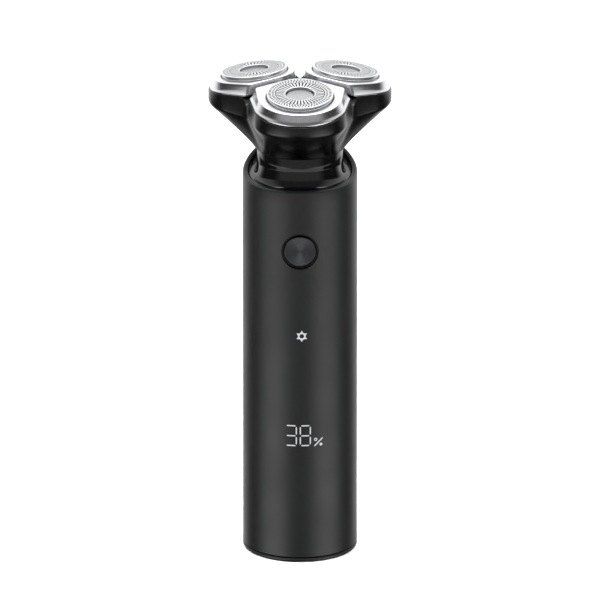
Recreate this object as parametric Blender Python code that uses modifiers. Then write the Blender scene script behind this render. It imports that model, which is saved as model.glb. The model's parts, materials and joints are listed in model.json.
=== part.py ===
"""Rotary electric shaver: a round handle with a lift-off, three-lobed shaving head.

Units are metres and +Z is up. The front, with the power button, faces -Y, and the origin is
the centre of the flat base. The script builds every piece of the handle, the drive train and
the head as an object of its own.
"""
import math

import bmesh
import bpy

MM = 0.001
GAP = 0.3 * MM  # clearance between neighbouring pieces
PAST = 1.0 * MM  # how far a cutter runs past what it cuts
MERGE = 0.01 * MM  # points closer than this become one

# Facets of round pieces.
STEPS_LARGE = 36
STEPS_MEDIUM = 24
STEPS_SMALL = 12

# Handle.
BODY_RADIUS = 19.4 * MM
BODY_WALL = 1.8 * MM
BODY_INNER = BODY_RADIUS - BODY_WALL
BASE_THICKNESS = 1.4 * MM
BASE_CHAMFER = 0.8 * MM
SPIGOT_TOP = 5.0 * MM
SPIGOT_INNER = 15.9 * MM
LIP_FRONT = 132.7 * MM  # height of the shell's rim at the front
LIP_RISE = 9.8 * MM  # how much higher the rim is at the back
LIP_CURVE = 2.45  # how late the rim rises
NECK_RADIUS = 14.5 * MM
NECK_TOP = 142.7 * MM
COVE_TOP = 138.2 * MM
COVE_BOTTOM = 132.3 * MM
COLLAR_RADIUS = BODY_INNER - 0.35 * MM
COLLAR_BOTTOM = 124.0 * MM
COLLAR_WALL = 1.5 * MM
COUPLER_HOLE = 3.8 * MM
MAGNET_INNER = 8.0 * MM

# Button, board and lights, all on the front.
BUTTON_HEIGHT = 111.3 * MM
BUTTON_HOLE = 6.3 * MM
BUTTON_RADIUS = 5.35 * MM
BUTTON_FACE = 19.0 * MM  # distance of the button's face in front of the axis
BUTTON_SKIRT = 17.3 * MM
PLUNGER_RADIUS = 2.2 * MM
PLUNGER_REAR = 15.8 * MM
BUTTON_SEAL = (17.2 * MM, 18.4 * MM)
DISPLAY_HEIGHT = 45.7 * MM
STATUS_HEIGHT = 81.4 * MM
BOARD_FRONT = -12.3 * MM
BOARD_BACK = -10.7 * MM
BOARD_WIDTH = 22.0 * MM
BOARD_BOTTOM = 6.5 * MM
BOARD_TOP = 118.0 * MM
DISPLAY_SIDES = (-6.0 * MM, 9.0 * MM)
DISPLAY_HALF = 5.2 * MM  # half the display's height
DISPLAY_DEPTH = 1.8 * MM
STATUS_SIDES = (-1.6 * MM, 2.4 * MM)
STATUS_HALF = 2.0 * MM
STATUS_DEPTH = 1.4 * MM
SWITCH_HALF = 3.0 * MM
SWITCH_DEPTH = 2.0 * MM
DOME_RADIUS = 1.6 * MM
DOME_REACH = (13.0 * MM, 15.2 * MM)
CHIP_HALF = 3.5 * MM
CHIP_BOTTOM = 88.0 * MM
CHIP_DEPTH = 0.9 * MM

# Charging socket at the board's lower edge.
SOCKET_CENTRE = -8.8 * MM
SOCKET_WIDTH = 9.0 * MM
SOCKET_DEPTH = 3.2 * MM
SOCKET_BOTTOM = 0.6 * MM
SOCKET_TOP = 8.0 * MM
SOCKET_WALL = 0.4 * MM
SOCKET_CORNER = 1.55 * MM
TONGUE_HALF_WIDTH = 3.3 * MM
TONGUE_HALF_DEPTH = 0.35 * MM

# Cell, motor and chassis.
CELL_RADIUS = 7.0 * MM
CELL_LENGTH = 50.3 * MM
CELL_BOTTOM = 29.6 * MM
CELL_BACK = 3.0 * MM  # the cell stands this far behind the axis
CELL_NUB = 0.8 * MM
CELL_NUB_RADIUS = 2.8 * MM
TAB_HALF_WIDTH = 4.0 * MM
TAB_HALF_DEPTH = 2.5 * MM
TAB_THICKNESS = 0.5 * MM
CHASSIS_RADIUS = 17.2 * MM
CHASSIS_INNER = 15.6 * MM
CHASSIS_BOTTOM = 6.6 * MM
CHASSIS_TOP = 122.0 * MM
CHASSIS_FRONT = -9.5 * MM
SHELF_BOTTOMS = (26.5 * MM, 81.0 * MM, 96.0 * MM)
SHELF_THICKNESS = 2.0 * MM
MOTOR_RADIUS = 10.0 * MM
MOTOR_FLAT = 7.7 * MM
MOTOR_BOTTOM = 100.5 * MM
MOTOR_TOP = 122.0 * MM
MOTOR_CAVITY = 6.8 * MM
MOTOR_CROWN = 1.2 * MM  # thickness of the can's closed end
END_CAP_BOTTOM = 98.4 * MM
END_CAP_INSET = 0.2 * MM
BUSHING_RADIUS = 3.2 * MM
BUSHING_TOP = 126.0 * MM
ROTOR_RADIUS = 5.8 * MM
ROTOR_BOTTOM = 103.0 * MM
ROTOR_TOP = 118.0 * MM
SHAFT_RADIUS = 1.0 * MM
SHAFT_BORE = SHAFT_RADIUS + GAP
SHAFT_BOTTOM = 101.0 * MM
SHAFT_TOP = 139.6 * MM
COUPLER_RADIUS = 3.4 * MM
COUPLER_PIN = 2.2 * MM
COUPLER_BOTTOM = 137.0 * MM
COUPLER_TOP = 149.5 * MM
BRACKET_TOP = 124.3 * MM
BRACKET_RADIUS = 15.4 * MM
BRACKET_HOLE = 3.5 * MM
BOSS_X = 13.0 * MM
BOSS_Y = 2.5 * MM
BOSS_RADIUS = 2.9 * MM
SCREW_HEAD = 1.7 * MM
SCREW_HEAD_HEIGHT = 1.2 * MM
SCREW_LENGTH = 7.0 * MM  # how deep a screw reaches below the chassis's top

# Shaving head. Each lobe's own frame is centred where its cap's axis meets the bezel's top.
HEAD_BASE = 143.0 * MM
RIM_RADIUS = 15.3 * MM
SHOULDER = 156.0 * MM
LOBE_DISTANCE = 17.8 * MM
LOBE_HEIGHT = 166.1 * MM
LOBE_TILT = math.radians(8.0)
LOBES = {"front": -90.0, "right": 30.0, "left": 150.0}
SKIRT_RADIUS = 15.6 * MM
BEZEL_RADIUS = 14.4 * MM
BEZEL_HEIGHT = 3.8 * MM
BEZEL_WALL = 1.2 * MM
BEZEL_FLARE = math.radians(8.0)
BEZEL_SLOT = 3.6 * MM  # slot between two bezels
APEX_RADIUS = 9.2 * MM
CAP_HOLE = 11.5 * MM
CAP_RADIUS = 11.2 * MM
CAP_RISE = 1.2 * MM
CAP_EDGE = 0.3 * MM
CAP_RECESS = 4.9 * MM
CAP_RECESS_FLOOR = -0.4 * MM
CAP_FLOOR = -1.2 * MM  # underside of the recess
CAP_FLANGE = 12.0 * MM
CAP_FLANGE_TOP = -1.9 * MM
CAP_FLANGE_BOTTOM = -2.6 * MM
CAP_CHANNEL = (5.8 * MM, 10.5 * MM)  # inner and outer radius of the cutter's channel
CAP_CHANNEL_ROOF = 0.3 * MM
DISC_RADIUS = 4.6 * MM
DISC_TOP = 0.5 * MM
DISC_BOTTOM = -0.1 * MM
HOUSING_WALL = 1.4 * MM
DECK_HOLE = 10.8 * MM
DECK_INSET = HOUSING_WALL + 1.1 * MM
HEAD_BASE_RADIUS = 13.5 * MM
HEAD_BASE_TOP = HEAD_BASE + 1.4 * MM
STEEL_RING_RADIUS = 12.5 * MM
STEEL_RING_TOP = HEAD_BASE + 3.1 * MM

# Gear train, with upright shafts.
MODULE = 0.8 * MM
SUN_TEETH = 15
DRIVE_TEETH = 25
GEAR_DISTANCE = MODULE * (SUN_TEETH + DRIVE_TEETH) / 2
GEAR_BOTTOM = 154.5 * MM
GEAR_TOP = 156.5 * MM
PLATE_BOTTOM = 152.6 * MM
PLATE_TOP = 154.1 * MM
PLATE_INSET = 3.0 * MM
PLATE_HOLE = 4.6 * MM
TOOTH_HIGH = 0.55 * MM
TOOTH_LOW = 0.85 * MM
TOOTH_ROOT_SHARE = 0.27  # half widths of a tooth, in pitches
TOOTH_TIP_SHARE = 0.10
SUN_HUB_RADIUS = 4.2 * MM
SUN_HUB_BOTTOM = 145.0 * MM
SUN_SOCKET_TOP = 150.5 * MM
SPINDLE_CUP = 2.6 * MM  # socket radius at both ends of the train
GEAR_BOSS_RADIUS = 3.8 * MM
GEAR_BOSS_TOP = 159.5 * MM
GEAR_SEAT_TOP = 155.9 * MM
GEAR_PIN_TOP = GEAR_SEAT_TOP - GAP
GEAR_PIN_RADIUS = 1.0 * MM

# Cutter and spindle, below each cap.
BLADES = 10
BLADE_INNER = 6.3 * MM
BLADE_OUTER = 9.9 * MM
BLADE_TOP = -0.15 * MM
BLADE_ROOT = -2.8 * MM
BLADE_SLOT_INNER = 5.4 * MM
BLADE_SLOT_SHARES = (0.30, 0.34)
CUTTER_BOTTOM = -3.6 * MM
CUTTER_HUB_RADIUS = 3.0 * MM
CUTTER_HUB_BOTTOM = -4.9 * MM
SPINDLE_RADIUS = 1.1 * MM
SPINDLE_BALL = 1.3 * MM
SPINDLE_TOP = CUTTER_HUB_BOTTOM - GAP
SPINDLE_BOTTOM = -8.3 * MM

FINISHES = {
    # name: (red, green, blue, roughness, metallic)
    "matte_black": (0.012, 0.012, 0.013, 0.42, 0.0),
    "gloss_black": (0.004, 0.004, 0.005, 0.08, 0.0),
    "silver": (0.60, 0.60, 0.61, 0.25, 1.0),
    "steel": (0.55, 0.56, 0.58, 0.30, 1.0),
    "dark_metal": (0.06, 0.06, 0.065, 0.35, 1.0),
    "rubber": (0.015, 0.015, 0.015, 0.80, 0.0),
    "inner_plastic": (0.35, 0.36, 0.38, 0.55, 0.0),
    "gear_plastic": (0.75, 0.75, 0.72, 0.45, 0.0),
    "board_green": (0.01, 0.10, 0.04, 0.50, 0.0),
    "cell_sleeve": (0.03, 0.16, 0.40, 0.40, 0.0),
    "brass": (0.60, 0.42, 0.14, 0.30, 1.0),
    "diffuser": (0.85, 0.85, 0.85, 0.50, 0.0),
}

materials = {}
part_collection = None
cutter_collection = None


# ---------------------------------------------------------------- scene and helpers

def clear_scene():
    """Remove every object that the file opened with."""
    for item in list(bpy.data.objects):
        bpy.data.objects.remove(item, do_unlink=True)


def make_collections():
    """Make the collection of the shaver's pieces and the one of its cutters."""
    global part_collection, cutter_collection
    part_collection = bpy.data.collections.new("electric_shaver")
    cutter_collection = bpy.data.collections.new("cutters")
    bpy.context.scene.collection.children.link(part_collection)
    bpy.context.scene.collection.children.link(cutter_collection)


def make_materials():
    """Make one Principled material for each finish."""
    for name, (red, green, blue, roughness, metallic) in FINISHES.items():
        material = bpy.data.materials.new(name)
        material.use_nodes = True
        shader = material.node_tree.nodes["Principled BSDF"]
        shader.inputs["Base Color"].default_value = (red, green, blue, 1.0)
        shader.inputs["Roughness"].default_value = roughness
        shader.inputs["Metallic"].default_value = metallic
        materials[name] = material


def add_object(name, mesh, finish, parent=None):
    """Link a piece, or a cutter when it has no finish, under an optional parent."""
    item = bpy.data.objects.new(name, mesh)
    if finish is None:
        cutter_collection.objects.link(item)
        item.hide_render = True
        item.display_type = "WIRE"
    else:
        part_collection.objects.link(item)
        mesh.materials.append(materials[finish])
    item.parent = parent
    return item


def turned(name, profile, finish, steps=STEPS_MEDIUM, parent=None):
    """Turn a profile of (radius, height) points, listed down its outer side, about local Z."""
    mesh = bpy.data.meshes.new(name)
    points = [(radius, 0.0, height) for radius, height in profile]
    edges = [(index, index + 1) for index in range(len(points) - 1)]
    if profile[0][0] > 0:
        edges.append((len(points) - 1, 0))
    mesh.from_pydata(points, edges, [])
    item = add_object(name, mesh, finish, parent)
    screw = item.modifiers.new("turn", "SCREW")
    screw.steps = steps
    screw.render_steps = steps
    screw.use_merge_vertices = True
    screw.merge_threshold = MERGE
    return item


def tube(name, outer, inner, bottom, top, finish, steps=STEPS_MEDIUM, parent=None):
    """Turn a ring of rectangular section."""
    profile = [(inner, top), (outer, top), (outer, bottom), (inner, bottom)]
    return turned(name, profile, finish, steps, parent)


def rod(name, radius, bottom, top, finish, steps=STEPS_SMALL, parent=None):
    """Turn a solid cylinder."""
    profile = [(0.0, top), (radius, top), (radius, bottom), (0.0, bottom)]
    return turned(name, profile, finish, steps, parent)


def block(name, low, high, finish, parent=None):
    """Make a box from its lowest and highest corners."""
    mesh = bpy.data.meshes.new(name)
    shape = bmesh.new()
    bmesh.ops.create_cube(shape, size=1.0)
    for vertex in shape.verts:
        for axis in range(3):
            middle = (low[axis] + high[axis]) / 2
            vertex.co[axis] = middle + vertex.co[axis] * (high[axis] - low[axis])
    shape.to_mesh(mesh)
    shape.free()
    return add_object(name, mesh, finish, parent)


def outlined(name, outline, bottom, top, finish, parent=None):
    """Extrude a closed outline of (x, y) points between two heights."""
    curve = bpy.data.curves.new(name, "CURVE")
    curve.dimensions = "2D"
    curve.fill_mode = "BOTH"
    curve.extrude = (top - bottom) / 2
    spline = curve.splines.new("POLY")
    spline.points.add(len(outline) - 1)
    for point, (x, y) in zip(spline.points, outline):
        point.co = (x, y, 0.0, 1.0)
    spline.use_cyclic_u = True
    guide = bpy.data.objects.new(name + "_curve", curve)
    part_collection.objects.link(guide)
    mesh = bpy.data.meshes.new_from_object(guide.evaluated_get(bpy.context.evaluated_depsgraph_get()))
    bpy.data.objects.remove(guide, do_unlink=True)
    shape = bmesh.new()
    shape.from_mesh(mesh)
    bmesh.ops.remove_doubles(shape, verts=shape.verts, dist=MERGE)
    bmesh.ops.recalc_face_normals(shape, faces=shape.faces)
    bmesh.ops.translate(shape, verts=shape.verts, vec=(0.0, 0.0, (top + bottom) / 2))
    shape.to_mesh(mesh)
    shape.free()
    mesh.materials.clear()
    return add_object(name, mesh, finish, parent)


def boolean(item, tool, operation="DIFFERENCE"):
    """Cut a piece with a tool, or join the tool to it."""
    modifier = item.modifiers.new(operation.lower(), "BOOLEAN")
    modifier.operation = operation
    modifier.object = tool


def smooth(item, angle=35.0):
    """Shade a piece smooth, with sharp edges where it turns by more than an angle."""
    item.data.shade_smooth()
    item.data.set_sharp_from_angle(angle=math.radians(angle))


def rectangle_outline(centre_y, width, depth, corner, arc_steps=4):
    """Outline of a rounded rectangle that is centred on X."""
    outline = []
    for quarter, (side_x, side_y) in enumerate(((1, 1), (-1, 1), (-1, -1), (1, -1))):
        centre = (side_x * (width / 2 - corner), centre_y + side_y * (depth / 2 - corner))
        for step in range(arc_steps + 1):
            angle = math.pi / 2 * (quarter + step / arc_steps)
            outline.append((centre[0] + corner * math.cos(angle), centre[1] + corner * math.sin(angle)))
    return outline


def flat_sided_outline(radius, flat, arc_steps=8):
    """Outline of a circle with its front and back cut to flats."""
    reach = math.asin(flat / radius)
    outline = []
    for side in (0.0, math.pi):
        for step in range(arc_steps + 1):
            angle = side - reach + 2 * reach * step / arc_steps
            outline.append((radius * math.cos(angle), radius * math.sin(angle)))
    return outline


def toothed_outline(teeth, root, tip, root_share, tip_share, phase=0.0):
    """Outline of a wheel whose first tooth points along phase; shares are half widths of a pitch."""
    pitch = 2 * math.pi / teeth
    outline = []
    for tooth in range(teeth):
        middle = phase + tooth * pitch
        for radius, share in ((root, -root_share), (tip, -tip_share), (tip, tip_share), (root, root_share)):
            angle = middle + share * pitch
            outline.append((radius * math.cos(angle), radius * math.sin(angle)))
    return outline


# ---------------------------------------------------------------- handle

def lip_height(y):
    """Height of the shell's rim at a distance behind the axis."""
    share = (y + BODY_RADIUS) / (2 * BODY_RADIUS)
    return LIP_FRONT + LIP_RISE * share ** LIP_CURVE


def lip_cutter():
    """Solid above the shell's sweeping rim, made as an outline in the YZ plane."""
    reach = BODY_RADIUS + 2 * MM
    roof = LIP_FRONT + LIP_RISE + 8 * MM
    steps = 12
    outline = []
    for step in range(steps + 1):
        y = -BODY_RADIUS + 2 * BODY_RADIUS * step / steps
        outline.append((y, lip_height(y)))
    outline.append((reach, lip_height(BODY_RADIUS) + 1 * MM))
    outline.append((reach, roof))
    outline.append((-reach, roof))
    outline.append((-reach, LIP_FRONT))
    cutter = outlined("cut_lip", outline, -reach, reach, None)
    cutter.rotation_euler = (math.radians(90), 0.0, math.radians(90))
    return cutter


def build_shell():
    """Body shell with its rim and button hole, its base cap and the two seals."""
    top = LIP_FRONT + LIP_RISE + 3 * MM
    bottom = BASE_THICKNESS + GAP
    shell = tube("body_shell", BODY_RADIUS, BODY_INNER, bottom, top, "matte_black", STEPS_LARGE)
    boolean(shell, lip_cutter())
    hole = rod("cut_button", BUTTON_HOLE, BODY_INNER / 2, BODY_RADIUS + PAST, None, STEPS_MEDIUM)
    place_button_piece(hole)
    boolean(shell, hole)

    base = turned("base_cap", [
        (0.0, BASE_THICKNESS), (SPIGOT_INNER, BASE_THICKNESS), (SPIGOT_INNER, SPIGOT_TOP),
        (CHASSIS_RADIUS, SPIGOT_TOP), (CHASSIS_RADIUS, BASE_THICKNESS), (BODY_RADIUS, BASE_THICKNESS),
        (BODY_RADIUS, BASE_CHAMFER), (BODY_RADIUS - BASE_CHAMFER, 0.0), (0.0, 0.0),
    ], "matte_black", STEPS_LARGE)
    port = rectangle_outline(SOCKET_CENTRE, SOCKET_WIDTH + 2 * GAP, SOCKET_DEPTH + 2 * GAP,
                             SOCKET_CORNER + GAP)
    boolean(base, outlined("cut_port", port, -PAST, BASE_THICKNESS + PAST, None))

    tube("base_seal", CHASSIS_RADIUS, CHASSIS_INNER + 2 * GAP, SPIGOT_TOP + GAP, CHASSIS_BOTTOM - GAP,
         "rubber")
    tube("neck_seal", CHASSIS_RADIUS, CHASSIS_INNER + 2 * GAP, CHASSIS_TOP + 2 * GAP,
         COLLAR_BOTTOM - GAP, "rubber")


def build_collar():
    """Neck collar: a cove that sweeps from the shell's rim up to the neck, and its rings."""
    cove = []
    cove_steps = 4
    for step in range(1, cove_steps + 1):
        angle = math.pi / 2 * step / cove_steps
        radius = NECK_RADIUS + (COLLAR_RADIUS - NECK_RADIUS) * (1 - math.cos(angle))
        cove.append((radius, COVE_TOP - (COVE_TOP - COVE_BOTTOM) * math.sin(angle)))
    inner_neck = NECK_RADIUS - COLLAR_WALL
    deck_bottom = NECK_TOP - BODY_WALL
    ring_depth = 1.7 * MM
    turned("neck_collar", [
        (COUPLER_HOLE, NECK_TOP), (NECK_RADIUS, NECK_TOP), (NECK_RADIUS, COVE_TOP), *cove,
        (COLLAR_RADIUS, COLLAR_BOTTOM), (COLLAR_RADIUS - COLLAR_WALL, COLLAR_BOTTOM),
        (COLLAR_RADIUS - COLLAR_WALL, COVE_BOTTOM - COLLAR_WALL), (inner_neck, COVE_TOP - COLLAR_WALL),
        (inner_neck, deck_bottom), (COUPLER_HOLE, deck_bottom),
    ], "gloss_black", STEPS_LARGE)
    tube("neck_magnet_ring", inner_neck - GAP, MAGNET_INNER, deck_bottom - ring_depth, deck_bottom - GAP,
         "steel")
    tube("shaft_seal", MAGNET_INNER - 2 * MM, COUPLER_RADIUS + GAP, deck_bottom - ring_depth,
         deck_bottom - GAP, "rubber", STEPS_SMALL)


def place_button_piece(item):
    """Turn a piece so that its local Z points out of the front at the button's height."""
    item.location = (0.0, 0.0, BUTTON_HEIGHT)
    item.rotation_euler = (math.radians(90), 0.0, 0.0)


def build_button():
    """Power button, its plunger and the seal round it."""
    edge = 0.3 * MM
    cap = turned("button_cap", [
        (0.0, BUTTON_FACE), (BUTTON_RADIUS - edge, BUTTON_FACE), (BUTTON_RADIUS, BUTTON_FACE - edge),
        (BUTTON_RADIUS, BUTTON_SKIRT), (0.0, BUTTON_SKIRT),
    ], "dark_metal")
    plunger = rod("button_plunger", PLUNGER_RADIUS, PLUNGER_REAR, BUTTON_SKIRT - GAP, "inner_plastic")
    seal = tube("button_seal", BUTTON_HOLE - GAP, BUTTON_RADIUS + GAP, *BUTTON_SEAL, "rubber")
    for item in (cap, plunger, seal):
        place_button_piece(item)


def build_chassis():
    """Open-fronted chassis with three shelves and two screw bosses, its bracket and screws."""
    chassis = tube("chassis", CHASSIS_RADIUS, CHASSIS_INNER, CHASSIS_BOTTOM, CHASSIS_TOP,
                   "inner_plastic", STEPS_LARGE)
    shelf_radius = (CHASSIS_RADIUS + CHASSIS_INNER) / 2
    for index, bottom in enumerate(SHELF_BOTTOMS):
        boolean(chassis, rod(f"join_shelf_{index}", shelf_radius, bottom, bottom + SHELF_THICKNESS,
                             None, STEPS_LARGE), "UNION")
    bracket = tube("motor_bracket", BRACKET_RADIUS, BRACKET_HOLE, CHASSIS_TOP + GAP, BRACKET_TOP, "steel")
    for side, sign in (("left", -1), ("right", 1)):
        tip = CHASSIS_TOP - SCREW_LENGTH
        boss = rod(f"join_boss_{side}", BOSS_RADIUS, tip - 3 * PAST, CHASSIS_TOP - 1 * MM, None)
        hole = rod(f"cut_boss_{side}", SHAFT_BORE, tip - PAST, BRACKET_TOP + PAST, None)
        seat = BRACKET_TOP + GAP
        screw = turned(f"bracket_screw_{side}", [
            (0.0, seat + SCREW_HEAD_HEIGHT), (SCREW_HEAD, seat + SCREW_HEAD_HEIGHT), (SCREW_HEAD, seat),
            (SHAFT_RADIUS, seat), (SHAFT_RADIUS, tip), (0.0, tip),
        ], "steel", STEPS_SMALL)
        for item in (boss, hole, screw):
            item.location = (sign * BOSS_X, BOSS_Y, 0.0)
        boolean(chassis, boss, "UNION")
        boolean(chassis, hole)
        boolean(bracket, hole)
    reach = BODY_RADIUS
    front = block("cut_front", (-reach, -reach, 0.0), (reach, CHASSIS_FRONT, CHASSIS_TOP + PAST), None)
    boolean(chassis, front)


def build_electronics():
    """Rechargeable cell with its tabs, and the circuit board with all that it carries."""
    cell_top = CELL_BOTTOM + CELL_LENGTH
    shoulder = cell_top - CELL_NUB
    cell = turned("battery_cell", [
        (0.0, cell_top), (CELL_NUB_RADIUS, cell_top), (CELL_NUB_RADIUS, shoulder),
        (CELL_RADIUS - CELL_NUB, shoulder), (CELL_RADIUS, shoulder - CELL_NUB),
        (CELL_RADIUS, CELL_BOTTOM), (0.0, CELL_BOTTOM),
    ], "cell_sleeve")
    cell.location.y = CELL_BACK
    tab_low = (-TAB_HALF_WIDTH, CELL_BACK - TAB_HALF_DEPTH)
    tab_high = (TAB_HALF_WIDTH, CELL_BACK + TAB_HALF_DEPTH)
    lower = CELL_BOTTOM - GAP
    upper = cell_top + GAP
    block("battery_tab_lower", (*tab_low, lower - TAB_THICKNESS), (*tab_high, lower), "steel")
    block("battery_tab_upper", (*tab_low, upper), (*tab_high, upper + TAB_THICKNESS), "steel")

    half = BOARD_WIDTH / 2
    block("circuit_board", (-half, BOARD_FRONT, BOARD_BOTTOM), (half, BOARD_BACK, BOARD_TOP), "board_green")
    front = BOARD_FRONT - GAP
    block("display_module", (DISPLAY_SIDES[0], front - DISPLAY_DEPTH, DISPLAY_HEIGHT - DISPLAY_HALF),
          (DISPLAY_SIDES[1], front, DISPLAY_HEIGHT + DISPLAY_HALF), "diffuser")
    block("status_light", (STATUS_SIDES[0], front - STATUS_DEPTH, STATUS_HEIGHT - STATUS_HALF),
          (STATUS_SIDES[1], front, STATUS_HEIGHT + STATUS_HALF), "diffuser")
    tact = block("button_switch", (-SWITCH_HALF, front - SWITCH_DEPTH, BUTTON_HEIGHT - SWITCH_HALF),
                 (SWITCH_HALF, front, BUTTON_HEIGHT + SWITCH_HALF), "gloss_black")
    dome = rod("join_switch_dome", DOME_RADIUS, *DOME_REACH, None)
    place_button_piece(dome)
    boolean(tact, dome, "UNION")
    back = BOARD_BACK + GAP
    block("control_chip", (-CHIP_HALF, back, CHIP_BOTTOM),
          (CHIP_HALF, back + CHIP_DEPTH, CHIP_BOTTOM + 2 * CHIP_HALF), "gloss_black")


def build_socket():
    """Charging socket: a flat metal shell, open below, with its contact tongue."""
    roof = SOCKET_TOP - 1 * MM
    outer = rectangle_outline(SOCKET_CENTRE, SOCKET_WIDTH, SOCKET_DEPTH, SOCKET_CORNER)
    inner = rectangle_outline(SOCKET_CENTRE, SOCKET_WIDTH - 2 * SOCKET_WALL, SOCKET_DEPTH - 2 * SOCKET_WALL,
                              SOCKET_CORNER - SOCKET_WALL)
    socket = outlined("charging_socket", outer, SOCKET_BOTTOM, SOCKET_TOP, "steel")
    boolean(socket, outlined("cut_socket", inner, SOCKET_BOTTOM - PAST, roof, None))
    block("socket_tongue", (-TONGUE_HALF_WIDTH, SOCKET_CENTRE - TONGUE_HALF_DEPTH, SOCKET_BOTTOM + 2 * GAP),
          (TONGUE_HALF_WIDTH, SOCKET_CENTRE + TONGUE_HALF_DEPTH, roof - GAP), "gloss_black")


def build_motor():
    """Flat-sided motor: can, end cap, bushing, rotor and shaft, with the drive coupler."""
    outline = flat_sided_outline(MOTOR_RADIUS, MOTOR_FLAT)
    can = outlined("motor_can", outline, MOTOR_BOTTOM, MOTOR_TOP, "steel")
    crown = MOTOR_TOP - MOTOR_CROWN
    cavity = rod("cut_motor_cavity", MOTOR_CAVITY, MOTOR_BOTTOM - PAST, crown, None, STEPS_MEDIUM)
    boolean(can, cavity)
    boolean(can, rod("cut_motor_bore", SHAFT_BORE, crown - PAST, MOTOR_TOP + PAST, None))
    outline = flat_sided_outline(MOTOR_RADIUS - END_CAP_INSET, MOTOR_FLAT - END_CAP_INSET)
    outlined("motor_end_cap", outline, END_CAP_BOTTOM, MOTOR_BOTTOM - GAP, "inner_plastic")
    tube("motor_bushing", BUSHING_RADIUS, SHAFT_BORE, MOTOR_TOP + GAP, BUSHING_TOP, "brass", STEPS_SMALL)
    tube("motor_rotor", ROTOR_RADIUS, SHAFT_BORE, ROTOR_BOTTOM, ROTOR_TOP, "brass")
    rod("motor_shaft", SHAFT_RADIUS, SHAFT_BOTTOM, SHAFT_TOP, "steel")
    coupler = turned("drive_coupler", [
        (0.0, COUPLER_TOP), (COUPLER_PIN, COUPLER_TOP), (COUPLER_PIN, HEAD_BASE),
        (COUPLER_RADIUS, HEAD_BASE - 0.2 * MM), (COUPLER_RADIUS, COUPLER_BOTTOM), (0.0, COUPLER_BOTTOM),
    ], "gear_plastic", STEPS_SMALL)
    boolean(coupler, rod("cut_coupler", SHAFT_BORE, COUPLER_BOTTOM - PAST, SHAFT_TOP + GAP, None))


# ---------------------------------------------------------------- shaving head

def lobe_frame(azimuth):
    """Empty at a lobe's centre: local X points outwards and local Z along the cap's axis."""
    angle = math.radians(azimuth)
    frame = bpy.data.objects.new("lobe_frame", None)
    part_collection.objects.link(frame)
    frame.location = (LOBE_DISTANCE * math.cos(angle), LOBE_DISTANCE * math.sin(angle), LOBE_HEIGHT)
    frame.rotation_euler = (0.0, LOBE_TILT, angle)
    return frame


def gear_frame(azimuth):
    """Empty on the upright axis of a lobe's drive gear, with local X pointing outwards."""
    angle = math.radians(azimuth)
    frame = bpy.data.objects.new("gear_frame", None)
    part_collection.objects.link(frame)
    frame.location = (GEAR_DISTANCE * math.cos(angle), GEAR_DISTANCE * math.sin(angle), 0.0)
    frame.rotation_euler = (0.0, 0.0, angle)
    return frame


def off_lobe(azimuth):
    """Angle between a direction and the nearest lobe, from 0 to 60 degrees, in radians."""
    nearest = min(abs((azimuth - lobe + 180.0) % 360.0 - 180.0) for lobe in LOBES.values())
    return math.radians(nearest)


def skirt_radius(azimuth):
    """Plan radius of the head's outline: an arc about each lobe, then flared straight sides."""
    turn = off_lobe(azimuth)
    side = SKIRT_RADIUS * math.cos(BEZEL_FLARE)
    radial = LOBE_DISTANCE + SKIRT_RADIUS * math.sin(BEZEL_FLARE)
    if turn < math.atan2(side, radial):
        across = LOBE_DISTANCE * math.sin(turn)
        return LOBE_DISTANCE * math.cos(turn) + math.sqrt(SKIRT_RADIUS ** 2 - across ** 2)
    flare = math.tan(BEZEL_FLARE)
    return (side + radial * flare) / (math.sin(turn) + math.cos(turn) * flare)


def housing_radius(azimuth, height):
    """Plan radius of the housing's outside, from its round rim to the lobed shoulder."""
    share = min((height - HEAD_BASE) / (SHOULDER - HEAD_BASE), 1.0)
    return RIM_RADIUS + (skirt_radius(azimuth) - RIM_RADIUS) * share


def lobe_plane(azimuth, radius, depth):
    """Height of the plane that lies a depth below the nearest bezel's top."""
    outward = radius * math.cos(off_lobe(azimuth)) - LOBE_DISTANCE
    return LOBE_HEIGHT - depth / math.cos(LOBE_TILT) - outward * math.tan(LOBE_TILT)


def loft(name, rings, finish, pole=None):
    """Skin closed rings of equal length, listed upwards; a pole closes the last ring."""
    mesh = bpy.data.meshes.new(name)
    shape = bmesh.new()
    rows = [[shape.verts.new(point) for point in ring] for ring in rings]
    count = len(rows[0])
    for lower, upper in zip(rows, rows[1:]):
        for index in range(count):
            after = (index + 1) % count
            shape.faces.new((lower[index], lower[after], upper[after], upper[index]))
    if pole is not None:
        tip = shape.verts.new(pole)
        for index in range(count):
            shape.faces.new((rows[-1][index], rows[-1][(index + 1) % count], tip))
    shape.to_mesh(mesh)
    shape.free()
    return add_object(name, mesh, finish)


def thicken(item, thickness):
    """Give an open surface a wall on its inner side."""
    solidify = item.modifiers.new("wall", "SOLIDIFY")
    solidify.thickness = thickness
    solidify.offset = -1.0


def polar(azimuth, radius, height):
    """Point at an azimuth in degrees."""
    angle = math.radians(azimuth)
    return (radius * math.cos(angle), radius * math.sin(angle), height)


def build_housing(azimuths):
    """Lobed housing: a loft from the round rim, past the shoulder, to the bezels' tilted planes."""
    rings = []
    for height in (HEAD_BASE, (HEAD_BASE + SHOULDER) / 2, SHOULDER):
        rings.append([polar(a, housing_radius(a, height), height) for a in azimuths])
    seam = BEZEL_HEIGHT + GAP
    rings.append([polar(a, skirt_radius(a), lobe_plane(a, skirt_radius(a), seam)) for a in azimuths])
    housing = loft("head_housing", rings, "gloss_black")
    thicken(housing, HOUSING_WALL)
    smooth(housing)


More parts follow.
